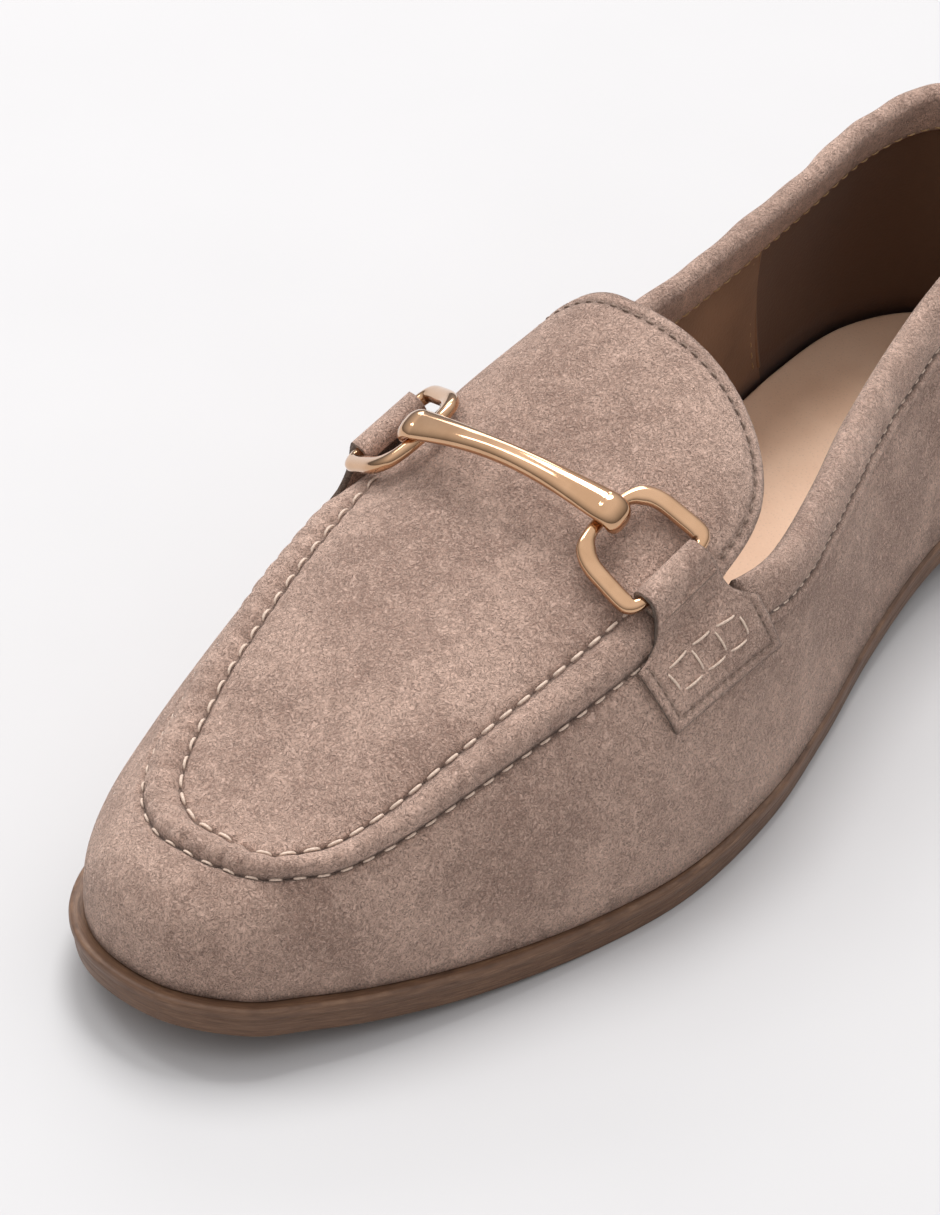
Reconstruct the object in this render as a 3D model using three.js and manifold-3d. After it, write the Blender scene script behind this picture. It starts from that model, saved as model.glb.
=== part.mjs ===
// A left suede loafer with a snaffle bit, in millimetres, +Z up, toe towards -Y, outer side towards +X.
// Upper, collar and tabs all come from one surface, lastPoint: arches from the feather line over the spine.
import * as THREE from "three";
import { mergeVertices } from "three/addons/utils/BufferGeometryUtils.js";
import Module from "manifold-3d";

const wasm = await Module();
wasm.setup();

// Driving dimensions
const LENGTH = 260.5;
const BALL_WIDTH = 91;
const INSTEP_HEIGHT = 84;
const COLLAR_HEIGHT = 71;
const SEAT_RISE = 7;
const TOE_SPRING = 8;
const SOLE_THICKNESS = 6.3;
const LEDGE = 2.5;
const WALL = 1.8;
const ROLL_HEIGHT = 1.9;
const INSOLE_THICKNESS = 2.4;
const COLLAR_BAND = 10;
const COLLAR_PADDING = 1.7;
const TAB_THICKNESS = 1.5;
const NECK_THICKNESS = 2.8;
const FOLD_WIDTH = 14.5;
const RING_WIDTH = 20;
const RING_DEPTH = 15.5;
const RING_WIRE = 2.2;
const RING_FLAT = 3.2;
const BAR_WIDTH = 6.8;
const BAR_WAIST = 4.4;
const BAR_HEIGHT = 3;
const BAR_ARCH = 3;
const GAP = 0.3;

// Columns from toe tip to heel tip on each side
const COLUMNS = 40;

// Outline of the sole, a row for each step from toe tip to heel tip.
// Along is a share of LENGTH, wide a share of BALL_WIDTH, on the outer and the inner side.
const OUTLINE = {
  outerAlong: [
    0.002, 0.029, 0.067, 0.109, 0.178, 0.274, 0.359, 0.459, 0.553, 0.647, 0.743, 0.839, 0.925, 0.985, 1,
  ],
  outerWide: [
    -0.016, 0.132, 0.209, 0.28, 0.368, 0.456, 0.5, 0.484, 0.423, 0.352, 0.308, 0.308, 0.28, 0.165, -0.016,
  ],
  innerAlong: [
    0.002, 0.007, 0.038, 0.092, 0.175, 0.274, 0.359, 0.453, 0.549, 0.645, 0.743, 0.839, 0.925, 0.985, 1,
  ],
  innerWide: [
    -0.016, -0.192, -0.324, -0.412, -0.467, -0.5, -0.484, -0.429, -0.374, -0.335, -0.324, -0.33, -0.308,
    -0.198, -0.016,
  ],
};

// Arches of the last, a row for each station of the spine.
// Ridge is a share of INSTEP_HEIGHT, axis and swells are shares of BALL_WIDTH.
// Leans and crown are exponents.
const ARCHES = {
  along: [0.105, 0.14, 0.167, 0.205, 0.301, 0.39, 0.474, 0.57, 0.647, 0.724, 0.82, 0.869, 0.904],
  ridge: [0.443, 0.483, 0.52, 0.58, 0.68, 0.775, 0.89, 1, 1.07, 1.115, 1.145, 1.16, 1.17],
  axis: [0.036, 0.032, 0.022, 0.006, -0.022, -0.047, -0.077, -0.104, -0.082, -0.06, -0.044, -0.033, -0.022],
  outerLean: [0.82, 0.8, 0.77, 0.72, 0.61, 0.51, 0.5, 1, 1.65, 2.25, 2.7, 1.9, 0.7],
  innerLean: [0.82, 0.8, 0.77, 0.72, 0.62, 0.61, 0.76, 1.2, 1.45, 1.8, 2.5, 1.9, 0.7],
  crown: [0.855, 0.86, 0.865, 0.87, 0.87, 0.86, 0.85, 0.84, 0.84, 0.85, 0.85, 0.85, 0.85],
  outerSwell: [0.008, 0.003, 0, 0, 0, 0.006, 0.013, 0.02, 0.019, 0.016, 0.013, 0.009, 0.006],
  innerSwell: [0.008, 0.016, 0.022, 0.023, 0.024, 0.022, 0.022, 0.022, 0.02, 0.016, 0.013, 0.009, 0.006],
};

// Lower edge of the rolled seam round the plug: the arch angle at each outline step, on either side.
const SEAM = {
  step: [0, 0.8, 1.5, 2.5, 3.7, 4.8, 6.2],
  outer: [1.09, 1, 0.92, 0.81, 0.8, 0.84, 0.86],
  inner: [1.09, 1.05, 0.96, 0.87, 0.86, 0.89, 0.92],
};

// The roll's width as an angle, and where it ends under the tabs.
const ROLL_ANGLE = 0.21;
const ROLL_END_STEP = 6.2;
const ROLL_FADE_STEPS = 0.5;

// Top line of the quarters from the side: along as a share of LENGTH, height as a share of COLLAR_HEIGHT.
const TOP_LINE = {
  along: [0.39, 0.455, 0.53, 0.608, 0.704, 0.8, 0.896, 1.05],
  height: [0.775, 0.752, 0.745, 0.755, 0.79, 0.855, 0.93, 1],
};

// Tongue from above: a rounded end whose depth and half width are shares of LENGTH and BALL_WIDTH.
const TONGUE = { root: 0.424, depth: 0.114, halfWidth: 0.46, centre: -0.07, squareness: 2.8 };

// Outline of a tab's sheet, and of its thicker neck, seen along its ring's up direction: distances back along
// the shoe and down the instep from the ring's straight side, as shares of FOLD_WIDTH.
const TAB_BASE = {
  back: [-0.49, -0.5, -0.63, -0.87, -1.09, -1.08, 0.9, 0.88, 0.66, 0.58, 0.51],
  down: [-0.1, 0.14, 0.35, 0.48, 0.51, 1.28, 1.35, 0.77, 0.59, 0.43, -0.1],
};
const TAB_NECK = { back: [-0.49, -0.5, -0.6, 0.58, 0.51], down: [-0.18, 0.14, 0.36, 0.42, -0.18] };

// Edge profile of the sole, a row for each loop from the underside up to the seat of the upper.
// Inset is a share of LEDGE, height a share of SOLE_THICKNESS.
const EDGE = {
  inset: [4.4, 0.6, 0.32, 0.3, 0.2, 0.32, 0.2, 0.3, 0.04, 0, 0.08, 0.34, 3],
  height: [0, 0, 0.1, 0.22, 0.28, 0.36, 0.44, 0.54, 0.64, 0.8, 0.93, 1, 1],
};

// Points nearer than this are one point.
const SNAP = 1e-4;

// Value of a table column at s, on a smooth curve through its rows.
function along(rows, values, s) {
  const last = rows.length - 1;
  if (s <= rows[0]) return values[0];
  if (s >= rows[last]) return values[last];
  let i = 0;
  while (s > rows[i + 1]) i += 1;
  const slope = (k) => {
    const a = Math.max(k - 1, 0);
    const b = Math.min(k + 1, last);
    return (values[b] - values[a]) / (rows[b] - rows[a]);
  };
  const h = rows[i + 1] - rows[i];
  const t = (s - rows[i]) / h;
  const t2 = t * t;
  const t3 = t2 * t;
  const start = (2 * t3 - 3 * t2 + 1) * values[i] + (t3 - 2 * t2 + t) * h * slope(i);
  return start + (-2 * t3 + 3 * t2) * values[i + 1] + (t3 - t2) * h * slope(i + 1);
}

const STEPS = OUTLINE.outerAlong.length - 1;
const shareAt = (y) => y / LENGTH + 0.5;

// The closed outline as one loop of points: outer side from toe to heel, then inner side back to the toe.
const outlinePoints = [];
for (let i = 0; i <= STEPS; i += 1) {
  outlinePoints.push([OUTLINE.outerWide[i] * BALL_WIDTH, (OUTLINE.outerAlong[i] - 0.5) * LENGTH]);
}
for (let i = STEPS - 1; i > 0; i -= 1) {
  outlinePoints.push([OUTLINE.innerWide[i] * BALL_WIDTH, (OUTLINE.innerAlong[i] - 0.5) * LENGTH]);
}

// Point and outward normal of the outline at a step from the toe tip, on the outer (1) or inner (-1) side.
function outlineAt(step, side) {
  const count = outlinePoints.length;
  const t = (((side > 0 ? step : count - step) % count) + count) % count;
  const i = Math.floor(t);
  const f = t - i;
  const [p0, p1, p2, p3] = [-1, 0, 1, 2].map((k) => outlinePoints[(i + k + count) % count]);
  const f2 = f * f;
  const f3 = f2 * f;
  const slopes = [0, 1].map((k) => [(p2[k] - p0[k]) / 2, (p3[k] - p1[k]) / 2]);
  const point = [0, 1].map((k) => {
    const start = (2 * f3 - 3 * f2 + 1) * p1[k] + (f3 - 2 * f2 + f) * slopes[k][0];
    return start + (3 * f2 - 2 * f3) * p2[k] + (f3 - f2) * slopes[k][1];
  });
  const tangent = [0, 1].map((k) => {
    const start = (6 * f2 - 6 * f) * (p1[k] - p2[k]) + (3 * f2 - 4 * f + 1) * slopes[k][0];
    return start + (3 * f2 - 2 * f) * slopes[k][1];
  });
  const size = Math.hypot(tangent[0], tangent[1]);
  return { x: point[0], y: point[1], nx: tangent[1] / size, ny: -tangent[0] / size };
}

// Outline point moved inwards by a distance.
function insetPoint(step, side, inset) {
  const p = outlineAt(step, side);
  return [p.x - p.nx * inset, p.y - p.ny * inset];
}

// How far the sole's underside rises: toe spring in front, and the seat's rise behind the arch.
const SPRING_END = 0.301;
const SPRING_POWER = 1.8;
const SEAT_START = 0.55;
const SEAT_END = 0.9;
function springAt(y) {
  return TOE_SPRING * Math.max(0, 1 - shareAt(y) / SPRING_END) ** SPRING_POWER;
}
function seatAt(y) {
  const u = Math.min(1, Math.max(0, (shareAt(y) - SEAT_START) / (SEAT_END - SEAT_START)));
  return SEAT_RISE * u * u * (3 - 2 * u);
}
const undersideAt = (y) => springAt(y) + seatAt(y);

// The rim stands furthest beyond the upper at the toe, and least at the waist and heel.
const LEDGE_FADE = { start: 1.17, slope: 1.74, least: 0.25, most: 1.1 };
function ledgeAt(y) {
  const share = LEDGE_FADE.start - LEDGE_FADE.slope * shareAt(y);
  return LEDGE * Math.max(LEDGE_FADE.least, Math.min(LEDGE_FADE.most, share));
}

// Spine station for an outline step: near toe and heel it lags behind the outline, so the arches fan out.
const TOE_FAN = { reach: 0.32, lag: 0.115 };
const HEEL_FAN = { start: 0.697, reach: 0.307, lag: 0.1 };
function spineAt(step) {
  const mid = shareAt((outlineAt(step, 1).y + outlineAt(step, -1).y) / 2);
  const toe = Math.max(0, 1 - mid / TOE_FAN.reach);
  const heel = Math.max(0, (mid - HEEL_FAN.start) / HEEL_FAN.reach);
  return mid + TOE_FAN.lag * toe * toe - HEEL_FAN.lag * heel * heel;
}

// Height that the rolled seam adds at a step and arch angle.
function rollAt(step, side, angle) {
  const from = along(SEAM.step, side > 0 ? SEAM.outer : SEAM.inner, step);
  const t = (angle - from) / ROLL_ANGLE;
  const end = Math.min(1, Math.max(0, (ROLL_END_STEP - step) / ROLL_FADE_STEPS));
  return t <= 0 || t >= 1 ? 0 : ROLL_HEIGHT * end * Math.sqrt(Math.sin(Math.PI * t));
}

// Point of the last: angle 0 is the feather line, a quarter turn is the spine.
// Tilt lets an arch that runs along the foot meet the spine at the spine's own slope.
const SLOPE_STEP = 0.01;
const TILT_POWER = 1.5;
function lastPoint(step, side, angle) {
  const edge = outlineAt(step, side);
  const [fx, fy] = insetPoint(step, side, ledgeAt(edge.y));
  const fz = SOLE_THICKNESS + undersideAt(fy) + GAP;
  const s = spineAt(step);
  const column = (name) => along(ARCHES.along, ARCHES[name], s);
  const sx = column("axis") * BALL_WIDTH;
  const sy = (s - 0.5) * LENGTH;
  const sz = column("ridge") * INSTEP_HEIGHT;
  const swell = column(side > 0 ? "outerSwell" : "innerSwell") * BALL_WIDTH * Math.sin(2 * angle);
  const lean = column(side > 0 ? "outerLean" : "innerLean");
  const reach = Math.hypot(fx - sx, fy - sy);
  const k = Math.max(0, Math.cos(angle)) ** lean + swell / reach;
  const g = Math.sin(angle) ** column("crown");
  const before = along(ARCHES.along, ARCHES.ridge, s - SLOPE_STEP);
  const after = along(ARCHES.along, ARCHES.ridge, s + SLOPE_STEP);
  const slope = ((after - before) * INSTEP_HEIGHT) / (2 * SLOPE_STEP * LENGTH);
  const tilt = slope * (fy - sy) * k * Math.max(0, 1 - k) ** TILT_POWER;
  return new THREE.Vector3(sx + (fx - sx) * k, sy + (fy - sy) * k, fz + (sz - fz) * g + tilt);
}

// Solid helpers
function geometryOf(positions, index) {
  return new THREE.BufferGeometry()
    .setAttribute("position", new THREE.Float32BufferAttribute(positions, 3))
    .setIndex(index);
}

function solidOf(geometry) {
  const bare = geometry.clone();
  bare.deleteAttribute("normal");
  bare.deleteAttribute("uv");
  const merged = mergeVertices(bare, SNAP);
  const whole = [];
  const index = merged.index.array;
  for (let i = 0; i < index.length; i += 3) {
    const [a, b, c] = [index[i], index[i + 1], index[i + 2]];
    if (a !== b && b !== c && c !== a) whole.push(a, b, c);
  }
  const make = (triVerts) =>
    new wasm.Manifold(
      new wasm.Mesh({
        numProp: 3,
        vertProperties: merged.attributes.position.array,
        triVerts: new Uint32Array(triVerts),
      }),
    );
  const made = make(whole);
  if (made.volume() > 0) return made;
  const turned = [];
  for (let i = 0; i < whole.length; i += 3) turned.push(whole[i], whole[i + 2], whole[i + 1]);
  return make(turned);
}

function geometryFrom(solid) {
  const mesh = solid.getMesh();
  return new THREE.BufferGeometry()
    .setAttribute("position", new THREE.BufferAttribute(new Float32Array(mesh.vertProperties), 3))
    .setIndex(new THREE.BufferAttribute(new Uint32Array(mesh.triVerts), 1));
}

// A closed solid through loops of points, all of one length, with end caps made of strips across each loop.
function loft(loops) {
  const count = loops[0].length;
  const positions = loops.flat(2);
  const index = [];
  for (let r = 0; r + 1 < loops.length; r += 1) {
    for (let c = 0; c < count; c += 1) {
      const a = r * count + c;
      const b = r * count + ((c + 1) % count);
      index.push(a, b, b + count, a, b + count, a + count);
    }
  }
  const cap = (start, flip) => {
    for (let c = 0; c < count / 2; c += 1) {
      const quad = [c, c + 1, (count - c - 1) % count, (count - c) % count].map((k) => start + k);
      const [a, b, d, e] = flip ? [quad[1], quad[0], quad[3], quad[2]] : quad;
      index.push(a, d, b, a, e, d);
    }
  };
  cap(0, false);
  cap((loops.length - 1) * count, true);
  return solidOf(geometryOf(positions, index));
}

// The outline's columns as [step, side] pairs, once round from the toe tip.
const columns = [];
for (let c = 0; c < COLUMNS; c += 1) columns.push([(STEPS * c) / COLUMNS, 1]);
for (let c = COLUMNS; c > 0; c -= 1) columns.push([(STEPS * c) / COLUMNS, -1]);

// Arch angles of a column: below the roll, across it, and from it to the spine.
const FINE = { below: 6, across: 6, above: 5 };
const PLAIN = { below: 4, across: 1, above: 4 };
const QUARTER = Math.PI / 2;
function anglesAt(step, side, rows) {
  const from = along(SEAM.step, side > 0 ? SEAM.outer : SEAM.inner, step);
  const to = from + ROLL_ANGLE;
  const angles = [];
  for (let r = 0; r < rows.below; r += 1) angles.push((from * r) / rows.below);
  for (let r = 0; r < rows.across; r += 1) angles.push(from + (ROLL_ANGLE * r) / rows.across);
  for (let r = 0; r <= rows.above; r += 1) angles.push(to + ((QUARTER - to) * r) / rows.above);
  return angles;
}

// The last as a closed solid, every point moved out by offset, with its foot let down by drop.
function lastForm(offset, drop, withRoll) {
  const split = withRoll ? FINE : PLAIN;
  const rows = split.below + split.across + split.above;
  const count = columns.length;
  const positions = [];
  columns.forEach(([step, side]) => {
    const angles = anglesAt(step, side, split).slice(0, rows);
    angles.forEach((angle) => positions.push(...lastPoint(step, side, angle)));
  });
  for (let c = 0; c <= COLUMNS; c += 1) positions.push(...lastPoint((STEPS * c) / COLUMNS, 1, QUARTER));
  const at = (c, r) => {
    const column = c % count;
    return r < rows ? column * rows + r : count * rows + Math.min(column, count - column);
  };
  const index = [];
  for (let c = 0; c < count; c += 1) {
    for (let r = 0; r < rows; r += 1) {
      index.push(at(c, r), at(c + 1, r), at(c + 1, r + 1), at(c, r), at(c + 1, r + 1), at(c, r + 1));
    }
  }
  const open = geometryOf(positions, index);
  open.computeVertexNormals();
  const normals = open.attributes.normal.array;
  const rolls = columns.map(([step, side]) =>
    anglesAt(step, side, split).map((angle) => rollAt(step, side, angle)),
  );
  const moved = positions.map((value, i) => {
    const v = Math.floor(i / 3);
    const roll = withRoll && v < count * rows ? rolls[Math.floor(v / rows)][v % rows] : 0;
    return value + normals[i] * (offset + roll);
  });
  const foot = moved.length / 3;
  for (let c = 0; c < count; c += 1) {
    const v = at(c, 0) * 3;
    moved.push(moved[v], moved[v + 1], moved[v + 2] - drop);
  }
  for (let c = 0; c < count; c += 1) {
    const next = (c + 1) % count;
    index.push(foot + c, foot + next, at(next, 0), foot + c, at(next, 0), at(c, 0));
  }
  for (let c = 0; c < COLUMNS; c += 1) {
    const [a, b] = [foot + c, foot + c + 1];
    const [d, e] = [foot + ((count - c - 1) % count), foot + ((count - c) % count)];
    index.push(a, d, b, a, e, d);
  }
  return solidOf(geometryOf(moved, index));
}

// A prism across the shoe over a side-view polygon of [y, z] points, between two x values.
function sidePrism(points, fromX, toX) {
  const shape = new THREE.Shape(points.map(([y, z]) => new THREE.Vector2(y, z)));
  const geometry = new THREE.ExtrudeGeometry(shape, { depth: toX - fromX, bevelEnabled: false });
  geometry.applyMatrix4(new THREE.Matrix4().makeBasis(
    new THREE.Vector3(0, 1, 0),
    new THREE.Vector3(0, 0, 1),
    new THREE.Vector3(1, 0, 0),
  ));
  geometry.translate(fromX, 0, 0);
  return solidOf(geometry);
}

// A prism up through the shoe over a plan polygon of [x, y] points.
function planPrism(points, height) {
  const shape = new THREE.Shape(points.map(([x, y]) => new THREE.Vector2(x, y)));
  return solidOf(new THREE.ExtrudeGeometry(shape, { depth: height, bevelEnabled: false }));
}

const FAR = 2 * BALL_WIDTH;

// Top line points, lowered by a distance, from a share of the length to behind the heel.
function topLine(from, lower) {
  const points = [];
  const count = 36;
  const to = TOP_LINE.along[TOP_LINE.along.length - 1];
  for (let i = 0; i <= count; i += 1) {
    const s = from + ((to - from) * i) / count;
    points.push([(s - 0.5) * LENGTH, along(TOP_LINE.along, TOP_LINE.height, s) * COLLAR_HEIGHT - lower]);
  }
  return points;
}

// What is cut away for the foot: all above the top line, less the tongue seen from above.
function openingCut() {
  const line = topLine(TONGUE.root, 0);
  const [startY] = line[0];
  const [endY] = line[line.length - 1];
  const above = sidePrism([...line, [endY, 2 * INSTEP_HEIGHT], [startY, 2 * INSTEP_HEIGHT]], -FAR, FAR);
  return above.subtract(tonguePrism());
}

function tonguePrism() {
  const half = TONGUE.halfWidth * BALL_WIDTH;
  const centre = TONGUE.centre * BALL_WIDTH;
  const root = (TONGUE.root - 0.5) * LENGTH;
  const points = [[centre + half, -LENGTH / 2]];
  const count = 40;
  for (let i = 0; i <= count; i += 1) {
    const turn = (Math.PI * i) / count;
    const power = 2 / TONGUE.squareness;
    const x = Math.sign(Math.cos(turn)) * Math.abs(Math.cos(turn)) ** power;
    points.push([centre + half * x, root + TONGUE.depth * LENGTH * Math.sin(turn) ** power]);
  }
  points.push([centre - half, -LENGTH / 2]);
  return planPrism(points, 2 * INSTEP_HEIGHT);
}

function makeUpper() {
  const drop = 2 * SOLE_THICKNESS;
  return lastForm(0, 0, true).subtract(lastForm(-WALL, drop, false)).subtract(openingCut());
}

// The sole: loops round the outline, inset and raised by the edge profile.
function edgeLoop(inset, height) {
  return columns.map(([step, side]) => {
    const [x, y] = insetPoint(step, side, inset);
    return [x, y, height(y)];
  });
}

function makeOutsole() {
  const loops = EDGE.inset.map((inset, i) =>
    edgeLoop(inset * LEDGE, (y) => undersideAt(y) + EDGE.height[i] * SOLE_THICKNESS),
  );
  return loft(loops);
}

// The heel block: the seat's outline behind the breast, from the floor to just under the sole.
// Insets are shares of LEDGE; the top lift's edge is rounded by a small radius.
const HEEL_BREAST = 0.79;
const HEEL_INSET = { inside: 4, floor: 0.5, top: 0.3 };
const HEEL_ROUND = 0.5;
function makeHeel() {
  const top = (y) => undersideAt(y) - GAP + SNAP;
  const block = loft([
    edgeLoop(LEDGE * HEEL_INSET.inside, () => 0),
    edgeLoop(LEDGE * HEEL_INSET.floor + HEEL_ROUND, () => 0),
    edgeLoop(LEDGE * HEEL_INSET.floor, () => HEEL_ROUND),
    edgeLoop(LEDGE * HEEL_INSET.top, top),
    edgeLoop(LEDGE * HEEL_INSET.inside, top),
  ]);
  const breast = (HEEL_BREAST - 0.5) * LENGTH;
  const behind = [[breast, -LENGTH], [LENGTH, -LENGTH], [LENGTH, LENGTH], [breast, LENGTH]];
  return block.intersect(sidePrism(behind, -FAR, FAR));
}

function makeInsole() {
  const inset = (y) => ledgeAt(y) + WALL + 2 * GAP;
  const loopAt = (extra, height) =>
    columns.map(([step, side]) => {
      const edge = outlineAt(step, side);
      const [x, y] = insetPoint(step, side, inset(edge.y) + extra);
      return [x, y, SOLE_THICKNESS + undersideAt(y) + height];
    });
  return loft([
    loopAt(LEDGE * 2, GAP),
    loopAt(0, GAP),
    loopAt(0, INSOLE_THICKNESS - GAP),
    loopAt(GAP, INSOLE_THICKNESS),
    loopAt(LEDGE * 2, INSOLE_THICKNESS),
  ]);
}

// The padded collar: the band below the top line, cut between two forms of the last.
function makeCollar() {
  const from = TONGUE.root;
  const upperEdge = topLine(from, 0);
  const lowerEdge = topLine(from, COLLAR_BAND).reverse();
  const band = sidePrism([...upperEdge, ...lowerEdge], -FAR, FAR);
  const skin = lastForm(GAP + COLLAR_PADDING, 0, false).subtract(lastForm(GAP, SOLE_THICKNESS, true));
  return [1, -1].reduce((rest, side) => {
    const end = Math.max(...TAB_BASE.back) * FOLD_WIDTH + GAP;
    return rest.subtract(ringPrism([[-FAR, -FAR], [end, -FAR], [end, FAR], [-FAR, FAR]], side));
  }, skin.intersect(band));
}

// Outward normal of the last at a point.
const NEAR = 0.01;
function lastNormal(step, side, angle) {
  const across = lastPoint(step, side, angle + NEAR).sub(lastPoint(step, side, angle - NEAR));
  const forward = lastPoint(step + NEAR, side, angle).sub(lastPoint(step - NEAR, side, angle));
  return forward.cross(across).multiplyScalar(side).normalize();
}

function liftedPoint(step, side, angle, lift) {
  return lastPoint(step, side, angle).addScaledVector(lastNormal(step, side, angle), lift);
}

// Frame of a ring: its eye lies high on the instep, its straight side in the fold of the tab.
// Steps and angles are places on the last, lifts are heights above it.
const EYE_AT = { step: 6.3, outerAngle: 1.37, innerAngle: 1.32, lift: 4.2 };
const FOLD_AT = { outerStep: 6.3, innerStep: 6.5, outerAngle: 1.03, innerAngle: 0.98, lift: 3.4 };

const STRAIGHT_SPAN = 0.3;
function ringFrame(side) {
  const eye = liftedPoint(EYE_AT.step, side, side > 0 ? EYE_AT.outerAngle : EYE_AT.innerAngle, EYE_AT.lift);
  const step = side > 0 ? FOLD_AT.outerStep : FOLD_AT.innerStep;
  const angle = side > 0 ? FOLD_AT.outerAngle : FOLD_AT.innerAngle;
  const fold = liftedPoint(step, side, angle, FOLD_AT.lift);
  const down = fold.sub(eye).normalize();
  const front = lastPoint(step - STRAIGHT_SPAN, side, angle);
  const rising = lastPoint(step + STRAIGHT_SPAN, side, angle).sub(front);
  const forward = rising.addScaledVector(down, -rising.dot(down)).normalize();
  const up = new THREE.Vector3().crossVectors(down, forward).multiplyScalar(side).normalize();
  const centre = eye.clone().addScaledVector(down, RING_DEPTH / 2);
  const pin = eye.clone().addScaledVector(down, RING_DEPTH);
  return { eye, down, forward, up, centre, pin };
}

// A prism along a ring's up direction over a polygon of points [back, down] from the ring's straight side.
// It reaches into the shoe and out of it by a third of the ball's width, so it meets one side alone.
const PRISM_REACH = BALL_WIDTH / 3;
function ringPrism(points, side) {
  const { down, forward, pin } = ringFrame(side);
  const shape = new THREE.Shape(points.map(([back, low]) => new THREE.Vector2(back, low)));
  const geometry = new THREE.ExtrudeGeometry(shape, { depth: 2 * PRISM_REACH, bevelEnabled: false });
  const through = new THREE.Vector3().crossVectors(forward, down);
  geometry.translate(0, 0, -PRISM_REACH);
  geometry.applyMatrix4(new THREE.Matrix4().makeBasis(forward, down, through).setPosition(pin));
  return solidOf(geometry);
}

// A closed wire round the ring: flat-sided loop, squarer at the straight side than at the eye.
const RING_STEPS = 40;
const RING_SIDES = 8;
const RING_CORNERS = { straight: 7, eye: 3 };
const RING_NARROWING = 0.12;
const RING_PROBE = 0.02;
function makeRing(side, margin) {
  const { down, forward, up, centre } = ringFrame(side);
  const pathAt = (turn) => {
    const c = Math.cos(turn);
    const d = Math.sin(turn);
    const power = 2 / (d > 0 ? RING_CORNERS.straight : RING_CORNERS.eye);
    const v = Math.sign(d) * Math.abs(d) ** power;
    const u = Math.sign(c) * Math.abs(c) ** power * (1 - (RING_NARROWING * (1 - v)) / 2);
    return [(u * RING_WIDTH) / 2, (v * RING_DEPTH) / 2, v];
  };
  const positions = [];
  const index = [];
  for (let i = 0; i < RING_STEPS; i += 1) {
    const turn = (2 * Math.PI * i) / RING_STEPS;
    const [u, v, level] = pathAt(turn);
    const [ua, va] = pathAt(turn - RING_PROBE);
    const [ub, vb] = pathAt(turn + RING_PROBE);
    const size = Math.hypot(ub - ua, vb - va);
    const [nu, nv] = [(vb - va) / size, (ua - ub) / size];
    const flat = RING_WIRE + (RING_FLAT - RING_WIRE) * Math.max(0, 1 - level ** 4);
    for (let k = 0; k < RING_SIDES; k += 1) {
      const a = (2 * Math.PI * (k + 0.5)) / RING_SIDES;
      const out = Math.cos(a) * (flat / 2 + margin);
      const rise = Math.sin(a) * (RING_WIRE / 2 + margin);
      const point = centre.clone()
        .addScaledVector(forward, u + nu * out)
        .addScaledVector(down, v + nv * out)
        .addScaledVector(up, rise);
      positions.push(...point);
      const next = ((i + 1) % RING_STEPS) * RING_SIDES;
      const other = (k + 1) % RING_SIDES;
      const here = i * RING_SIDES;
      index.push(here + k, next + k, next + other, here + k, next + other, here + other);
    }
  }
  return solidOf(geometryOf(positions, index));
}

// A round pin or sleeve about an axis, as a solid of revolution over [radius, height] points.
function turned(points, centre, axis, segments) {
  const geometry = new THREE.LatheGeometry(points.map(([r, h]) => new THREE.Vector2(r, h)), segments);
  geometry.applyQuaternion(new THREE.Quaternion().setFromUnitVectors(new THREE.Vector3(0, 1, 0), axis));
  geometry.translate(centre.x, centre.y, centre.z);
  return solidOf(geometry);
}

// The bar: an eye round each ring, and between them an arched body that narrows to its waist.
const EYE_SLACK = 0.55;
const EYE_WALL = 1.9;
const EYE_ROUND = 0.7;
const EYE_BORE = RING_WIRE / 2 + EYE_SLACK;
const EYE_RADIUS = EYE_BORE + EYE_WALL;
const EYE_SEGMENTS = 20;
const BAR_STEPS = 18;
const BAR_SIDES = 10;
function makeBar() {
  const outer = ringFrame(1);
  const inner = ringFrame(-1);
  const half = BAR_WIDTH / 2;
  const soft = half - EYE_ROUND;
  const face = EYE_RADIUS - EYE_ROUND;
  const sleeve = [
    [EYE_BORE, -half], [face, -half], [EYE_RADIUS, -soft],
    [EYE_RADIUS, soft], [face, half], [EYE_BORE, half], [EYE_BORE, -half],
  ];
  const span = outer.eye.clone().sub(inner.eye);
  const wide = outer.forward.clone().add(inner.forward).normalize();
  const high = new THREE.Vector3().crossVectors(span, wide).normalize();
  const inset = (EYE_BORE + EYE_WALL / 4) / span.length();
  const loops = [];
  for (let i = 0; i <= BAR_STEPS; i += 1) {
    const t = inset + (1 - 2 * inset) * (i / BAR_STEPS);
    const arch = 4 * t * (1 - t);
    const middle = inner.eye.clone().addScaledVector(span, t).addScaledVector(high, BAR_ARCH * arch);
    const width = BAR_WIDTH + (BAR_WAIST - BAR_WIDTH) * arch;
    const loop = [];
    for (let k = 0; k < BAR_SIDES; k += 1) {
      const a = (2 * Math.PI * (k + 0.5)) / BAR_SIDES;
      const point = middle.clone()
        .addScaledVector(wide, (Math.cos(a) * width) / 2)
        .addScaledVector(high, (Math.sin(a) * BAR_HEIGHT) / 2);
      loop.push([...point]);
    }
    loops.push(loop);
  }
  const eyes = [outer, inner].map((frame) => turned(sleeve, frame.eye, frame.forward, EYE_SEGMENTS));
  return loft(loops).add(eyes[0]).add(eyes[1]);
}

// A tab: stitched base and neck cut between two forms of the last, and the fold round the ring's straight
// side.
const FOLD_SLACK = 0.5;
const FOLD_WALL = 1.4;
const FOLD_BORE = RING_WIRE / 2 + FOLD_SLACK;
const FOLD_RADIUS = FOLD_BORE + FOLD_WALL;
const FOLD_SEGMENTS = 18;
const liner = lastForm(GAP, SOLE_THICKNESS, true);

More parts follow.
